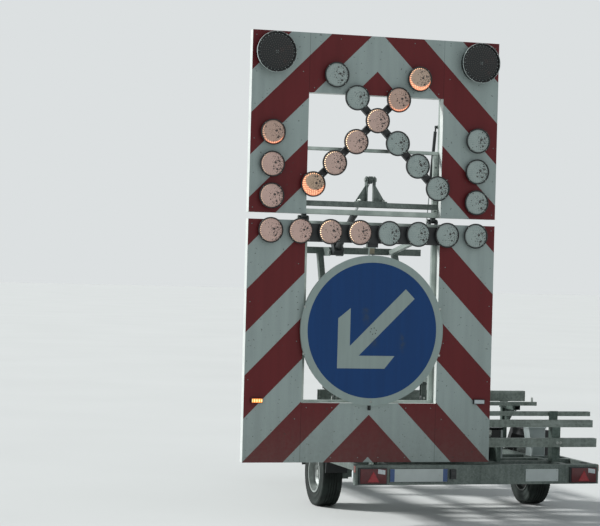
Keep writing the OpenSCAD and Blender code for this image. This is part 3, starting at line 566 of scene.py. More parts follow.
def bare_ahead(tree, surface, place, film, film_end, cloud, dark, pale):
    """Keeps the film on the rear face alone: what lies ahead of film_end is bare, cloudy aluminium."""
    axes = put(tree, "SeparateXYZ", {0: place})
    rear = put(tree, "Math", {0: axes.outputs["Y"], 1: film_end}, operation="LESS_THAN")
    bare = put(tree, "Mix", {"Factor": cloud, 6: colour(dark), 7: colour(pale)}, data_type="RGBA")
    skin = put(tree, "Mix", {"Factor": rear, 6: bare, 7: film}, data_type="RGBA")
    metal = put(tree, "MapRange", {"Value": rear, "To Min": 0.35, "To Max": 0.0})
    feed(tree, surface, {"Base Color": skin, "Metallic": metal})


def striped_film(name, foot_z, pitch, red_from, seam_low, seam_high, tip):
    """Chevron film: red and white by turns as height and distance from the middle add up."""
    material, tree, surface, place = finish_of(name, 0.5, ior=1.3)
    axes = put(tree, "SeparateXYZ", {0: place})
    across = put(tree, "Math", {0: axes.outputs["X"], 1: BOARD_X}, operation="SUBTRACT")
    across = put(tree, "Math", {0: across}, operation="ABSOLUTE")
    height = put(tree, "Math", {0: axes.outputs["Z"], 1: foot_z}, operation="SUBTRACT")
    climb = put(tree, "Math", {0: height, 1: pitch, 2: across}, operation="MULTIPLY_ADD")
    turn = put(tree, "Math", {0: climb, 1: red_from}, operation="SUBTRACT")
    turn = put(tree, "Math", {0: turn, 1: 2 * STRIPE_RISE}, operation="DIVIDE")
    turn = put(tree, "Math", {0: turn}, operation="FRACT")
    red = put(tree, "Math", {0: turn, 1: 0.5}, operation="LESS_THAN")
    above_tip = put(tree, "Math", {0: climb, 1: tip}, operation="GREATER_THAN")
    red = put(tree, "Math", {0: red, 1: above_tip}, operation="MULTIPLY")
    # Film cells are 3 mm in life; they are drawn at 10 mm so that they show at all.
    cells = put(tree, "TexVoronoi", {"Vector": place, "Scale": 100.0}, feature="DISTANCE_TO_EDGE")
    cell_line = put(tree, "MapRange", {"Value": cells, "From Max": 0.08, "To Min": 0.93, "To Max": 1.0})
    stretch = put(tree, "Mapping", {0: place, "Scale": (16, 16, 1.1)})
    drips = put(tree, "TexNoise", {"Vector": stretch, "Scale": 1.0, "Detail": 5.0})
    drip_tone = put(tree, "MapRange", {"Value": drips, "From Min": 0.35, "From Max": 0.75, "To Min": 1.03,
                                       "To Max": 0.88})
    film = put(tree, "Mix", {"Factor": red, 6: colour("#97A4A1"), 7: colour("#611F22")}, data_type="RGBA")
    shade = put(tree, "Math", {0: cell_line, 1: drip_tone}, operation="MULTIPLY")
    film = put(tree, "Mix", {"Factor": 1.0, 6: film, 7: shade}, data_type="RGBA", blend_type="MULTIPLY")
    splash = put(tree, "TexNoise", {"Vector": place, "Scale": 28.0, "Detail": 6.0, "Roughness": 0.7})
    low_down = put(tree, "MapRange", {"Value": axes.outputs["Z"], "From Min": LOWER_Z,
                                      "From Max": LOWER_Z + 0.55, "To Min": 0.5, "To Max": 0.0})
    dirt = put(tree, "Math", {0: splash, 1: low_down}, operation="MULTIPLY")
    film = put(tree, "Mix", {"Factor": dirt, 6: film, 7: colour("#5E605A")}, data_type="RGBA")
    specks = put(tree, "TexNoise", {"Vector": place, "Scale": 46.0, "Detail": 1.0})
    speck = put(tree, "MapRange", {"Value": specks, "From Min": 0.735, "From Max": 0.76, "To Max": 0.6})
    film = put(tree, "Mix", {"Factor": speck, 6: film, 7: colour("#3B3A36")}, data_type="RGBA")
    # The seams where the middle panel meets the two legs show as dark lines 3 mm wide.
    from_seam = put(tree, "Math", {0: across, 1: SEAM_X, 2: 0.0015}, operation="COMPARE")
    over = put(tree, "Math", {0: height, 1: seam_low}, operation="GREATER_THAN")
    under = put(tree, "Math", {0: height, 1: seam_high}, operation="LESS_THAN")
    seam = put(tree, "Math", {0: over, 1: under}, operation="MULTIPLY")
    seam = put(tree, "Math", {0: seam, 1: from_seam}, operation="MULTIPLY")
    film = put(tree, "Mix", {"Factor": seam, 6: film, 7: colour("#A9A9A9")}, data_type="RGBA",
               blend_type="MULTIPLY")
    cloud = put(tree, "TexNoise", {"Vector": place, "Scale": 12.0, "Detail": 4.0})
    bare_ahead(tree, surface, place, film, TRAY_FILM_END, cloud, "#B4BAB7", "#D2D6D2")
    return material


dress(striped_film("chevron_film_lower", LOWER_Z, 0.983, 0.396 + STRIPE_RISE, -0.1, 0.5, 0.045),
      "lower_panel_left", "lower_panel_right", "lower_panel_bottom")
dress(striped_film("chevron_film_upper", UPPER_Z, 1.0, 0.867, 1.017, 1.6, -1.0),
      "upper_panel_left", "upper_panel_right", "upper_panel_top")
RIVET = [(0, 0), (0.0048, 0), (0.0042, 0.0014), (0.0024, 0.0025), (0, 0.0028)]
rivet_grey = plastic("dull_rivet_heads", "#6C7674", 0.5, 10, 0.1)
for name, where, body, rows, pitch, band in (
        ("lower_board_rivets", on_board, "board", 7, 325, (40, 460)),
        ("upper_board_rivets", on_upper, "upper_board", 6, 287, (1057, 1477))):
    rivets = bmesh.new()
    for side in (-1, 1):
        for u in (655, 1068):
            for z in range(40, 40 + rows * pitch, pitch):
                add_turned(rivets, RIVET, where(side * u, 30, z), (0, -1, 0), 12)
        for u in (90, 330, 555):
            for z in band:
                add_turned(rivets, RIVET, where(side * u, 30, z), (0, -1, 0), 12)
    piece(name, rivets, rivet_grey, body)

# Board frames. Square aluminium tubes, mill finish, welded behind the panels, with a perforated strip
# by the upper opening; they have gone dull and grey outdoors. A galvanised beam below carries the clevis.
def mill_aluminium(name, pale, dull):
    """Extruded aluminium left bare: pale grey, drawn lines along the tube and dull oxide clouds."""
    material, tree, surface, place = finish_of(name, 0.42, 0.75)
    cloud = put(tree, "TexNoise", {"Vector": place, "Scale": 6.0, "Detail": 6.0})
    drawn = put(tree, "Mapping", {0: place, "Scale": (3, 260, 3)})
    lines = put(tree, "TexNoise", {"Vector": drawn, "Scale": 1.0, "Detail": 2.0})
    mixed = put(tree, "Math", {0: lines, 1: 0.4, 2: cloud}, operation="MULTIPLY_ADD")
    amount = put(tree, "MapRange", {"Value": mixed, "From Min": 0.45, "From Max": 0.95})
    tone = put(tree, "Mix", {"Factor": amount, 6: colour(dull), 7: colour(pale)}, data_type="RGBA")
    gloss = put(tree, "MapRange", {"Value": mixed, "From Min": 0.4, "From Max": 1.0, "To Min": 0.55,
                                   "To Max": 0.36})
    feed(tree, surface, {"Base Color": tone, "Roughness": gloss})
    return material


frame_alloy = mill_aluminium("mill_finish_aluminium", "#A9B3AD", "#808C86")
dress(frame_alloy, "lower_frame", "top_stays", "disc_rails")


def add_tube(form, low, high, wall, along, finish=0):
    """Adds a square tube with open ends between two corners in metres; along is the index of its axis."""
    wide, deep = [i for i in range(3) if i != along]
    rings = []
    for end in (low, high):
        for inset in (0.0, wall):
            ring = []
            for a, b in ((low, low), (high, low), (high, high), (low, high)):
                spot = Vector(end)
                spot[wide] = a[wide] + (inset if a is low else -inset)
                spot[deep] = b[deep] + (inset if b is low else -inset)
                ring.append(form.verts.new(spot))
            rings.append(ring)
    outer, inner, outer_end, inner_end = rings
    for first, second in ((outer, outer_end), (inner, inner_end), (outer, inner), (outer_end, inner_end)):
        for i in range(4):
            j = (i + 1) % 4
            form.faces.new((first[i], first[j], second[j], second[i])).material_index = finish
    corners = [form.edges.get((outer[i], outer_end[i])) for i in range(4)]
    rounded = bmesh.ops.bevel(form, geom=corners, offset=0.003, segments=2, profile=0.6, affect="EDGES")
    for face in rounded["faces"]:
        face.material_index = finish


def add_perforated(form, low, high, holes, radius):
    """Adds an upright plate between two corners in metres, with round holes up its middle."""
    middle = (low[0] + high[0]) / 2
    limits = [low[2]] + [(a + b) / 2 for a, b in zip(holes, holes[1:])] + [high[2]]
    for hole, under, over in zip(holes, limits, limits[1:]):
        corners = [math.atan2(z - hole, x - middle) % (2 * math.pi) for x in (low[0], high[0])
                   for z in (under, over)]
        rings = []
        for y in (low[1], high[1]):
            rim, border = [], []
            for turn in sorted([2 * math.pi * (i + 0.5) / 20 for i in range(20)] + corners):
                along, up = math.cos(turn), math.sin(turn)
                far = min(((high[0] if along > 0 else low[0]) - middle) / along,
                          ((over if up > 0 else under) - hole) / up)
                rim.append(form.verts.new((middle + radius * along, y, hole + radius * up)))
                border.append(form.verts.new((middle + far * along, y, hole + far * up)))
            rings += [rim, border]
        for first, second in ((0, 1), (2, 3), (0, 2), (1, 3)):
            for i in range(len(rings[0])):
                j = (i + 1) % len(rings[0])
                form.faces.new((rings[first][i], rings[first][j], rings[second][j], rings[second][i]))


# The upper frame's inner tubes stand flush with the opening, with the strip flat-on beside the right one
# and the gas strut's bracket on its ahead side. Sizes are in millimetres on the upper board.
INNER, OUTER, UPPER_TOP, BEAM_FOOT, BEAM_TOP, STRIP_TOP = 600, 1040, 1517, 71, 115, 539
TUBE_REAR, TUBE_AHEAD, STRIP_WIDTH = 105, 145, 44
upper_form = bmesh.new()
for side in (-1, 1):
    for near, width in ((INNER, 60), (OUTER, 40)):
        first, last = sorted((side * near, side * (near + width)))
        low, high = on_upper(first, TUBE_REAR, 0), on_upper(last, TUBE_AHEAD, UPPER_TOP)
        add_tube(upper_form, low, high, 0.003, 2)
    first, last = sorted((side * (INNER + 60), side * OUTER))
    for z in (0, 720, UPPER_TOP - 40):
        add_tube(upper_form, on_upper(first, TUBE_REAR, z), on_upper(last, TUBE_AHEAD, z + 40), 0.003, 0)
for z, height in ((0, 45), (STRIP_TOP, 30), (UPPER_TOP - 500, 40), (UPPER_TOP - 40, 40)):
    low, high = on_upper(-INNER, TUBE_REAR, z), on_upper(INNER, TUBE_AHEAD, z + height)
    add_tube(upper_form, low, high, 0.003, 0)
add_tube(upper_form, on_upper(-INNER, TUBE_REAR, BEAM_FOOT), on_upper(INNER, 205, BEAM_TOP), 0.004, 0, 1)
add_block(upper_form, on_upper(604, 145, 771), on_upper(610, 191, 801), 0.001, 1)
add_turned(upper_form, [(0.0045, -0.007), (0.0045, 0.014)], on_upper(590, 176, 786), (1, 0, 0), 16, 1)
for foot, top, marks in ((45, BEAM_FOOT, (58,)), (BEAM_TOP, STRIP_TOP, (183, 308, 433))):
    add_perforated(upper_form, on_upper(INNER - STRIP_WIDTH, 112, foot), on_upper(INNER, 115, top),
                   [z / 1000 + UPPER_Z for z in marks], 0.008)
    for low_y, high_u in ((115, INNER - STRIP_WIDTH + 3), (142, INNER)):
        add_block(upper_form, on_upper(INNER - STRIP_WIDTH, low_y, foot),
                  on_upper(high_u, TUBE_AHEAD, top))
frame_finishes = [frame_alloy, galvanised]
upper_tubes = piece("upper_board_frame", upper_form, frame_finishes, "upper_board")
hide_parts("upper_frame")
for body, where, near, heights in (("board", on_board, 590, (20, 480, 1010, 1555, 2010)),
                                   ("upper_board", on_upper, 630, (20, 555, 1037, 1497))):
    frame_bolts = bmesh.new()
    for side in (-1, 1):
        for z in heights:
            for u in (near, 1060):
                add_bolt(frame_bolts, where(side * u, TUBE_AHEAD, z), (0, 1, 0), 0.012)
    piece(body + "_frame_bolts", frame_bolts, bright_zinc, body)

# Lamp carriers. A black-coated folded channel behind the lamp row and two crossed bars in the upper
# opening, all of sheet steel screwed to the frame. A bare aluminium bracket holds the junction box, and
# a painted plate with a forged eye hangs the disc.
dress(black_coat, "lamp_row_bar", "lamp_cross", "junction_box")
carrier = bmesh.new()
add_block(carrier, on_board(-70, 52, 1811), on_board(32, 88, 1818.4), 0.002)
add_block(carrier, on_board(-32, 52, 1700), on_board(-22, 60, 1812), 0.002)
add_block(carrier, on_board(-46, 57, 1816), on_board(-41, 86, 1853), 0.001)
piece("junction_bracket", carrier, frame_alloy, "board")
hanger_plate = bmesh.new()
add_block(hanger_plate, on_board(-22, 54, 1764), on_board(22, 58, 1811), 0.001)
cream_enamel = plastic("cream_enamel", "#7C7763", 0.5, 8, 0.1)
piece("disc_hanger_plate", hanger_plate, cream_enamel, "board")
hanger_eye = bmesh.new()
add_block(hanger_eye, on_board(-25, 44, 1700), on_board(20, 54, 1712), 0.002)
add_turned(hanger_eye, closed([(0.005, -0.0025), (0.005, 0.0025), (0.0105, 0.0025), (0.0105, -0.0025)]),
           on_board(8, 48, 1756), (0, 1, 0), 20)
add_turned(hanger_eye, [(0.003, 0), (0.003, 0.036)], on_board(8, 48, 1711), (0, 0, 1), 10)
piece("disc_hanger_eye", hanger_eye, forged, "board")

# Arrow lamps. Black moulded pans with a bezel, screwed to the film; under the clear domed lens sit rings
# of amber diodes. Some are lit, so they look pinkish with an orange rim of light, and dead insects and
# grit speck them, most of all on their right.
lamp_black = plastic("lamp_bezel_black", "#0B0D0E", 0.4, 3, 0.1)
dress(lamp_black, "row_lamps", "cross_lamps", "column_lamps")
PANEL_Y, LAMP_R, LAMP_DEPTH, LENS_RISE = 30, 107.5, 45, 7
LENS_R, DIODE_RADIUS, DIODE_RISE = LAMP_R - 10, 0.0042, 0.0022


def lens_finishes(name, ground, dark, crescent=None, dots=None, diode_pale_and_glint=0.12):
    """Clear acrylic over amber diodes: finishes for the lens and for the diodes, both pale and specked.
    What lies outside a circle that is moved off the lens's centre glows: crescent and dots are
    (x, z, edge, power) in shares of the lens's width, and the dots are diodes only."""
    made = []
    for part in ("lens", "diodes"):
        material, tree, surface, place = finish_of(name + "_" + part, 0.32, ior=1.4)
        shape = put(tree, "TexCoord").outputs["Generated"]
        flat = put(tree, "VectorMath", {0: shape, 1: (1, 0, 1)}, operation="MULTIPLY")
        cloud = put(tree, "TexNoise", {"Vector": place, "Scale": 18.0, "Detail": 3.0})
        tone = put(tree, "Mix", {"Factor": cloud, 6: colour(ground), 7: colour(dark)}, data_type="RGBA")
        apart = put(tree, "SeparateXYZ", {0: place})
        facing = put(tree, "CombineXYZ", {0: apart.outputs["X"], 1: apart.outputs["Z"]})
        side_near = put(tree, "VectorMath", {0: flat, 1: (0.92, 0, 0.5)}, operation="DISTANCE")
        plenty = put(tree, "MapRange", {"Value": side_near, "From Min": 0.05, "From Max": 0.62,
                                        "To Min": 0.64, "To Max": 0.03})
        grime = 0.0
        for grain, size in ((55.0, 0.38), (95.0, 0.44), (150.0, 0.48)):
            cells = put(tree, "TexVoronoi", {"Vector": facing, "Scale": grain}, voronoi_dimensions="2D")
            pick = put(tree, "SeparateColor", {0: cells.outputs["Color"]})
            kept = put(tree, "Math", {0: pick.outputs["Red"], 1: plenty}, operation="LESS_THAN")
            reach = put(tree, "Math", {0: pick.outputs["Green"], 1: size}, operation="MULTIPLY")
            speck = put(tree, "Math", {0: cells, 1: reach}, operation="LESS_THAN")
            speck = put(tree, "Math", {0: speck, 1: kept}, operation="MULTIPLY")
            grime = put(tree, "Math", {0: grime, 1: speck}, operation="MAXIMUM")
        waver = put(tree, "TexNoise", {"Vector": place, "Scale": 120.0, "Detail": 2.0})
        waver = put(tree, "Math", {0: waver, 1: 0.06}, operation="MULTIPLY")
        for middle, reach in (((0.63, 0, 0.55), 0.084), ((0.79, 0, 0.62), 0.072),
                              ((0.71, 0, 0.27), 0.075)):
            away = put(tree, "VectorMath", {0: flat, 1: middle}, operation="DISTANCE")
            away = put(tree, "Math", {0: away, 1: waver}, operation="ADD")
            speck = put(tree, "Math", {0: away, 1: reach}, operation="LESS_THAN")
            grime = put(tree, "Math", {0: grime, 1: speck}, operation="MAXIMUM")
        grime = put(tree, "Math", {0: grime, 1: 0.95}, operation="MULTIPLY")
        tone = put(tree, "Mix", {"Factor": grime, 6: tone, 7: colour("#1E1615")}, data_type="RGBA")
        # The diodes are mixed toward white: their own pale chips, and a painted glint on every diode.
        if part == "diodes":
            tone = put(tree, "Mix", {"Factor": diode_pale_and_glint, 6: tone, 7: colour("#FFF4EC")}, data_type="RGBA")
        feed(tree, surface, {"Base Color": tone})
        glows = [crescent] if part == "lens" else [crescent and crescent[:3] + (crescent[3] * 4,), dots]
        power = 0.0
        for x, z, edge, strength in filter(None, glows):
            off = put(tree, "VectorMath", {0: flat, 1: (0.5 + x, 0, 0.5 + z)}, operation="DISTANCE")
            share = put(tree, "MapRange", {"Value": off, "From Min": edge, "From Max": edge + 0.02,
                                           "To Max": strength})
            power = put(tree, "Math", {0: power, 1: share}, operation="MAXIMUM")
        warm = "#FF7440" if part == "lens" else "#FFB884" if crescent else "#FFDAA8"
        if any(glows):
            feed(tree, surface, {"Emission Color": colour(warm), "Emission Strength": power})
        made.append(material)
    return made


def add_diodes(form, centre, radius, rings, size, height, finish):
    """Adds rings of small domes, given as (radius, count) pairs in metres, under a lens's own dome."""
    for ring, count in rings:
        lift = LENS_RISE / 1000 * math.sqrt(max(0.0, 1 - (ring / radius) ** 2))
        for x, z in around(count, ring, 180 / count if count % 4 == 0 else 0):
            add_turned(form, [(size, 0), (size * 0.8, height * 0.6), (0, height)],
                       centre + Vector((x, 0.0006 - lift, z)), (0, -1, 0), 7, finish)


def add_lens(form, centre, radius, finish):
    """Adds a shallow domed lens, 0.8 mm over the pan's own face."""
    rise = LENS_RISE / 1000
    quarter = [math.pi / 2 * i / 8 for i in range(8)]
    dome = [(radius * math.cos(turn), rise * math.sin(turn)) for turn in quarter] + [(0, rise)]
    add_turned(form, [(radius, -0.001)] + dome, centre, (0, -1, 0), 48, finish)


DIODE_RINGS = [(0.012, 5), (0.026, 11), (0.040, 16), (0.054, 20), (0.068, 24), (0.080, 28)]
deep_crescent = lens_finishes("lamp_deep_crescent", "#CAAD96", "#B3997F",
                              (0.09, 0.20, 0.44, 0.42), (0.04, -0.03, 0.45, 2.2))
mid_crescent = lens_finishes("lamp_mid_crescent", "#C8AD98", "#B19A88",
                             (0.03, 0.17, 0.495, 0.52), (0.05, -0.02, 0.458, 2.0))
thin_crescent = lens_finishes("lamp_thin_crescent", "#C6A796", "#B29486",
                              (-0.02, 0.14, 0.555, 0.5), (0.07, 0.05, 0.485, 1.2))
dotted_rim = lens_finishes("lamp_lit_dots", "#CCAFA3", "#BA9D91", None, (0.05, -0.02, 0.476, 3.4))
faint_rim = lens_finishes("lamp_lit_faint", "#D2B2A6", "#BF9F95", None, (0.03, 0.0, 0.466, 0.9))
unlit = lens_finishes("lamp_unlit", "#9DABA7", "#899794")
CROSS_Z, CROSS_STEP, ROW_Z, ROW_PITCH = 803, 185, 1940, 261
arrow_lamps = []
for i, state in enumerate([faint_rim] * 2 + [dotted_rim] * 2 + [unlit] * 4):
    u = (i - 3.5) * ROW_PITCH
    arrow_lamps.append(("row_lamp_%d" % (i + 1), "board", on_board(u, 0, ROW_Z), state))
for i, (z, state) in enumerate(((670, thin_crescent), (405, faint_rim), (140, faint_rim)), 1):
    arrow_lamps.append(("left_lamp_%d" % i, "upper_board", on_upper(-3.5 * ROW_PITCH, 0, z), state))
    arrow_lamps.append(("right_lamp_%d" % i, "upper_board", on_upper(3.5 * ROW_PITCH, 0, z), unlit))
for i, state in enumerate([deep_crescent] + [dotted_rim] * 3 + [thin_crescent, mid_crescent], -3):
    u, z = i * CROSS_STEP, CROSS_Z + i * CROSS_STEP
    arrow_lamps.append(("cross_rising_%d" % (i + 4), "upper_board", on_upper(u, 0, z), state))
    if i:
        arrow_lamps.append(("cross_falling_%d" % (i + 4), "upper_board", on_upper(-u, 0, z), unlit))
# The lens lies inside a bezel 9 mm deep, 0.8 mm proud of the pan's floor. A connector box sits behind
# each pan, or behind the crossed bars where the lamp is on them.
BEZEL, LENS_PROUD, SCREW_CIRCLE, CROSS_BARS_TOP = 9, 0.8, 102.5, UPPER_Z + 0.98
lamp_screws = {"board": bmesh.new(), "upper_board": bmesh.new()}
connector_boxes = {"board": bmesh.new(), "upper_board": bmesh.new()}
for name, body, place, state in arrow_lamps:
    front = place + Vector((0, PANEL_Y - LAMP_DEPTH, 0)) / 1000
    face = front + Vector((0, BEZEL - LENS_PROUD, 0)) / 1000
    form = bmesh.new()
    add_lens(form, face, LENS_R / 1000, 0)
    add_diodes(form, face, LENS_R / 1000, DIODE_RINGS, DIODE_RADIUS, DIODE_RISE, 1)
    add_diodes(form, face, LENS_R / 1000, [(0.0895, 32)], 0.0036, 0.0024, 1)
    piece(name, form, state, body)
    for x, z in around(4, SCREW_CIRCLE / 1000, 45):
        add_turned(lamp_screws[body], [(0.0036, -0.001), (0.0036, 0.001), (0.002, 0.0018), (0, 0.0018)],
                   front + Vector((x, 0, z)), (0, -1, 0), 8)
    behind = 70 if name.startswith("cross") and place.z < CROSS_BARS_TOP else 33
    low = place + Vector((-35, behind, -25)) / 1000
    add_block(connector_boxes[body], low, low + Vector((0.07, 0.032, 0.05)), 0.004)
for body, form in lamp_screws.items():
    piece(body + "_lamp_screws", form, bright_zinc, body)
for body, form in connector_boxes.items():
    piece(body + "_lamp_connector_boxes", form, black_moulding, body)

# Flash lamps. Two large round lamps at the top corners, screwed to the upper panels: a smoked acrylic
# lens over rings of clear diodes, in a deep black housing; the pale diodes along the edge and in the middle
# and the thin pale ring round the lens are painted glints.
dress(lamp_black, "flash_lamps")
smoked = lens_finishes("flash_lens_smoked", "#061011", "#040B0C", diode_pale_and_glint=0.06)
# The pale diodes and the thin ring round the lens are painted glints.
clear_diode_painted_glint = plastic("clear_diode_epoxy", "#B4C0BD", 0.15, 4, 0.1)
FLASH_R, FLASH_DEPTH, FLASH_U, FLASH_Z, FLASH_SCREWS, DIODE_PITCH = 170, 80, 910.5, 1335, 164.5, 19
FLASH_LENS = (FLASH_R - 10) / 1000
flash_rings = [(r / 1000, int(2 * math.pi * r / DIODE_PITCH))
               for r in range(DIODE_PITCH, 140, DIODE_PITCH)]
for side, hand in SIDES:
    front = on_upper(side * FLASH_U, PANEL_Y - FLASH_DEPTH, FLASH_Z)
    face = front + Vector((0, BEZEL - LENS_PROUD, 0)) / 1000
    form = bmesh.new()
    add_lens(form, face, FLASH_LENS, 0)
    add_diodes(form, face, FLASH_LENS, flash_rings, DIODE_RADIUS, 0.002, 1)
    add_diodes(form, face, FLASH_LENS, [(0.149, 30), (0.010, 4)], 0.0026, 0.0028, 2)
    add_turned(form, closed([(0.1695, -0.007), (0.1690, 0.0016), (0.1708, 0.0010), (0.1714, -0.007)]),
               front, (0, -1, 0), 64, 2)
    piece("flash_lens_" + hand, form, smoked + [clear_diode_painted_glint], "upper_board")
    flash_screws = bmesh.new()
    for x, z in around(12, FLASH_SCREWS / 1000):
        add_turned(flash_screws, [(0.004, -0.001), (0.004, 0.0012), (0.002, 0.002), (0, 0.002)],
                   front + Vector((x, 0, z)), (0, -1, 0), 8)
    piece("flash_screws_" + hand, flash_screws, bright_zinc, "upper_board")

# Direction disc. Aluminium sheet with a rolled rim and blue retroreflective film; the white border and
# the arrow are cut film laid on it. Rust from the bolts has run down, and rain has left grey streaks.
def disc_film(name, code, dark, film_end):
    """Retroreflective film with rust runs below the bolts and rain marks; bare metal ahead of film_end."""
    material, tree, surface, place = finish_of(name, 0.45, ior=1.3)
    stretch = put(tree, "Mapping", {0: place, "Scale": (26, 26, 1.4)})
    rain = put(tree, "TexNoise", {"Vector": stretch, "Scale": 1.0, "Detail": 4.0})
    tone = put(tree, "Mix", {"Factor": rain, 6: colour(code), 7: colour(dark)}, data_type="RGBA")
    axes = put(tree, "SeparateXYZ", {0: place})
    wander = put(tree, "TexNoise", {"Vector": place, "Scale": 9.0, "Detail": 4.0})
    stain = 0.0
    # Each run starts below a bolt: its place off the disc's middle, its lower and upper end and half width.
    for u, low, high, half in ((-0.055, 0.02, 0.20, 0.045), (0.275, -0.20, -0.01, 0.030),
                               (0.02, -0.16, -0.06, 0.05)):
        along = put(tree, "Math", {0: axes.outputs["X"], 1: DISC_U + u}, operation="SUBTRACT")
        along = put(tree, "Math", {0: wander, 1: 0.09, 2: along}, operation="MULTIPLY_ADD")
        along = put(tree, "Math", {0: along, 1: 0.045}, operation="SUBTRACT")
        along = put(tree, "Math", {0: along}, operation="ABSOLUTE")
        near = put(tree, "MapRange", {"Value": along, "From Min": half * 0.3, "From Max": half,
                                      "To Min": 1.0, "To Max": 0.0})
        up = put(tree, "MapRange", {"Value": axes.outputs["Z"], "From Min": DISC_Z + low,
                                    "From Max": DISC_Z + low + 0.06})
        down = put(tree, "MapRange", {"Value": axes.outputs["Z"], "From Min": DISC_Z + high - 0.03,
                                      "From Max": DISC_Z + high, "To Min": 1.0, "To Max": 0.0})
        spot = put(tree, "Math", {0: near, 1: up}, operation="MULTIPLY")
        spot = put(tree, "Math", {0: spot, 1: down}, operation="MULTIPLY")
        stain = put(tree, "Math", {0: stain, 1: spot}, operation="MAXIMUM")
    patchy = put(tree, "TexNoise", {"Vector": place, "Scale": 38.0, "Detail": 4.0})
    patchy = put(tree, "MapRange", {"Value": patchy, "From Min": 0.30, "From Max": 0.70, "To Max": 0.7})
    stain = put(tree, "Math", {0: stain, 1: patchy}, operation="MULTIPLY")
    tone = put(tree, "Mix", {"Factor": stain, 6: tone, 7: colour("#36434A")}, data_type="RGBA")
    bare_ahead(tree, surface, place, tone, film_end, rain, "#9BA29F", "#B9BEBB")
    return material


def on_disc(u, y, z):
    """A point in millimetres from the disc's middle; y is counted as on the boards."""
    return on_board(u, y, DISC_HEIGHT + z)


DISC_HEIGHT = 1117
DISC_U, DISC_Z = BOARD_X, LOWER_Z + DISC_HEIGHT / 1000
DISC_R, RING_IN, DISC_FACE, FILM = 0.6325, 0.573, -10, 0.0008
disc_blue = disc_film("blue_reflective_film", "#0A3D74", "#083463", -2.4585)
disc_white = disc_film("white_reflective_film", "#95A4A0", "#86938F", -2.43)
dress(disc_blue, "sign_disc")
ring = bmesh.new()
edge_out = DISC_R + 0.0012
for profile in ([(RING_IN, 0), (RING_IN, FILM), (DISC_R, FILM), (DISC_R, 0)],
                [(DISC_R, FILM), (edge_out, 0.0), (edge_out, -0.021), (DISC_R, -0.022)]):
    add_turned(ring, closed(profile), on_disc(0, DISC_FACE, 0), (0, -1, 0), 160)
piece("disc_border", ring, disc_white, "board")
# The arrow points down to the left: a corner of two arms, their ends cut at a slant, and a shaft.
TIP_U, TIP_Z, ARM, BAR, SLANT, SHAFT_HALF, REACH = -306, -322, 420, 108, 88, 57, 636
skew = SHAFT_HALF * math.sqrt(2)
side_step = SHAFT_HALF / math.sqrt(2)
outline = [(0, 0), (ARM, 0), (ARM + SLANT, BAR), (BAR + skew, BAR),
           (REACH + side_step, REACH - side_step), (REACH - side_step, REACH + side_step),
           (BAR, BAR + skew), (BAR, ARM + SLANT), (0, ARM)]
arrow = bmesh.new()
front, behind = [[arrow.verts.new(on_disc(TIP_U + a, y, TIP_Z + b)) for a, b in outline]
                 for y in (DISC_FACE - 0.9, DISC_FACE)]
arrow.faces.new(front)
for i in range(len(outline)):
    j = (i + 1) % len(outline)
    arrow.faces.new((front[i], front[j], behind[j], behind[i]))
piece("disc_arrow", arrow, disc_white, "board")
disc_bolts = bmesh.new()
for u, z in ((-602, 190), (602, 190), (602, -205), (-602, -205), (0, -603)):
    add_turned(disc_bolts, [(0, 0), (0.011, 0), (0.011, 0.002), (0.0075, 0.0045), (0, 0.006)],
               on_disc(u, DISC_FACE - 0.8, z), (0, -1, 0), 16)
piece("disc_bolts", disc_bolts, bright_zinc, "board")
hub_rivets = bmesh.new()
for u, z in around(6, 27, 15):
    add_turned(hub_rivets, [(0, 0), (0.0045, 0), (0.0040, 0.0010), (0, 0.0012)],
               on_disc(u + 8, DISC_FACE - 0.8, z - 5), (0, -1, 0), 12)
piece("disc_hub_rivets", hub_rivets, forged, "board")
hanger = bmesh.new()
add_block(hanger, on_board(-7, 2, 452), on_board(7, 24, 486), 0.003)
add_block(hanger, on_board(-14, 24, 440), on_board(14, 30, 494), 0.002)
piece("disc_foot_stop", hanger, forged, "board")

# Marker lights. Small moulded lamps screwed to the legs, each with a ribbed acrylic lens. The left one
# is lit: its lens is orange with a pale yellow core where the bulb is. The right one is off and clear.
dress(lamp_black, "marker_lights")
MARKER_U, MARKER_Z = 990, 518
marker_lit, tree, surface, place = finish_of("marker_lens_lit", 0.25)
ribs = put(tree, "TexWave", {"Vector": place, "Scale": 15.0, "Distortion": 0.4}, bands_direction="X")
axes = put(tree, "SeparateXYZ", {0: place})
off_middle = put(tree, "Math", {0: axes.outputs["Z"], 1: LOWER_Z + MARKER_Z / 1000}, operation="SUBTRACT")
off_middle = put(tree, "Math", {0: off_middle}, operation="ABSOLUTE")
core = put(tree, "MapRange", {"Value": off_middle, "From Min": 0.006, "From Max": 0.016, "To Min": 1.0,
                              "To Max": 0.0})
core = put(tree, "Math", {0: core, 1: ribs}, operation="MULTIPLY")
tone = put(tree, "Mix", {"Factor": core, 6: colour("#F08A2C"), 7: colour("#FFDFA0")}, data_type="RGBA")
feed(tree, surface, {"Base Color": tone, "Emission Color": tone, "Emission Strength": 1.0})
for (side, hand), finish in zip(SIDES, (marker_lit, clear_lens)):
    lens = bmesh.new()
    for i in range(9):
        u = side * MARKER_U - 44 + i * 10
        add_block(lens, on_board(u, 2, MARKER_Z - 16), on_board(u + 9, 9, MARKER_Z + 16), 0.0015)
    piece("marker_lens_" + hand, lens, finish, "board")

# Carriage and trestle. Galvanised arms and forks that hang the board on its rails, dark nylon rollers
# on steel pins, and the trestle that carries the foot of the drive.
dress(galvanised, "carriage_arms", "trestle")
dress(plastic("dark_nylon_rollers", "#2A2D2E", 0.5, 4, 0.2), "carriage_rollers")
# Each roller's pin runs fore and aft: its place, its height over the road and the ends that have a head.
# The lower rear one has a head at its rear end alone.
ROLLERS = ((302, 883, (-1, 1)), (237, 593, (-1,)), (1160, 980, (-1, 1)), (1450, 1063, (-1, 1)))
PIN_REACH = 27


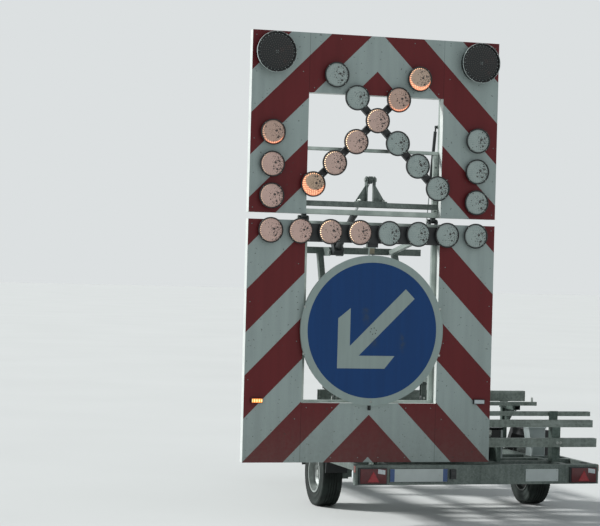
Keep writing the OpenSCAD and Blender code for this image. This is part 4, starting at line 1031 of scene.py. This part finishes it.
def pin_head(radius, edge, crown, top):
    """The profile of a pin's turned head, from millimetres: radius, edge height, crown radius and top."""
    profile = [(0, 0), (radius, 0), (radius, edge), (crown, top), (0, top)]
    return [(r / 1000, z / 1000) for r, z in profile]


carriage = bmesh.new()
for u in (60, 900):
    for y, z, ends in ROLLERS:
        for face in ends:
            add_turned(carriage, pin_head(12.5, 3, 6, 4.2),
                       on_board(u, y + face * PIN_REACH, z - 1000 * LOWER_Z), (0, face, 0), 16)
    for z in (80, 330, 560):
        for off in (-14, 14):
            add_bolt(carriage, on_board(u + off, 180, z), (0, 1, 0), 0.013)
    for y in (1220, 1390):
        for off in (-22, 22):
            add_bolt(carriage, on_board(u + off, y, 604), (0, 0, 1), 0.013)
drive_foot = on_board(12, 1100, 1772)
for face in (-1, 1):
    spot = drive_foot + Vector((face * 0.069, 0, 0))
    add_turned(carriage, pin_head(15, 4, 8, 6), spot, (face, 0, 0), 18)
piece("carriage_fasteners", carriage, bright_zinc, "board")

# Hinges and clevis. Blackened steel knuckles, welded to both boards and joined by a pin, and the
# galvanised bracket, bolted to its beam, whose two lugs take the drive's rod.
blackened = zinc_steel("blackened_steel", "#454A4A", "#2B2F2F", 10, 0.5, 0.5)
dress(blackened, "lower_hinges", "upper_hinges")
dress(galvanised, "clevis_bracket")
hinge_caps = bmesh.new()
for u in (-580, 580):
    for face in (-1, 1):
        spot = on_board(u + face * 45, 185, 2058)
        add_turned(hinge_caps, pin_head(15, 4, 9, 6), spot, (face, 0, 0), 18)
piece("hinge_pin_heads", hinge_caps, bright_zinc, "board")
clevis_bolts = bmesh.new()
for u in (-95, 119):
    for y in (125, 165):
        add_bolt(clevis_bolts, on_upper(u, y, 125), (0, 0, 1), 0.016)
CLEVIS_PIN = on_upper(12, 185, 310)
for face in (-1, 1):
    spot = CLEVIS_PIN + Vector((face * 0.048, 0, 0))
    add_turned(clevis_bolts, pin_head(18, 4, 10, 6), spot, (face, 0, 0), 20)
piece("clevis_bolts", clevis_bolts, bright_zinc, "upper_board")

# Fold drive and gas strut. The drive is an electric spindle with a black gear housing and tube and a
# bright rod, whose grey eye and cast head sit on the clevis's pin; the strut is a black gas spring.
# Their rods slide in as the upper board folds. Chrome gives the rods one sharp bright line.
drive_black = powder_coat("black_drive_enamel", "#202425", "#343939", 0.4)
bright_rod, tree, surface, place = finish_of("chromed_rod", 0.16, 1.0)
turned_marks = put(tree, "TexNoise", {"Vector": place, "Scale": 140.0, "Detail": 2.0})
tone = put(tree, "Mix", {"Factor": turned_marks, 6: colour("#B9BDBE"), 7: colour("#DADDDD")},
           data_type="RGBA")
EYE_REACH, DRIVE_LINE = 0.045, Vector((0, 0.82617, -0.563421))
from_pin = put(tree, "VectorMath", {0: place, 1: tuple(CLEVIS_PIN)}, operation="DISTANCE")
at_eye = put(tree, "Math", {0: from_pin, 1: EYE_REACH}, operation="LESS_THAN")
tone = put(tree, "Mix", {"Factor": at_eye, 6: tone, 7: colour("#5A6260")}, data_type="RGBA")
feed(tree, surface, {"Base Color": tone})
for socket, rod_value, eye_value in (("Roughness", 0.16, 0.6), ("Metallic", 1.0, 0.5)):
    level_at = put(tree, "MapRange", {"Value": at_eye, "To Min": rod_value, "To Max": eye_value})
    feed(tree, surface, {socket: level_at})
rod_head = bmesh.new()
add_block(rod_head, (-0.0205, -0.021, -0.024), (0.0205, 0.021, 0.030), 0.004)
rod_turn = Vector((0, 0, 1)).rotation_difference(DRIVE_LINE).to_matrix()
for vert in rod_head.verts:
    vert.co = CLEVIS_PIN + rod_turn @ vert.co
piece("drive_rod_head", rod_head, galvanised, "drive_rod")
dress(drive_black, "actuator_barrel", "strut_barrel")
dress(bright_rod, "actuator_rod", "strut_rod")
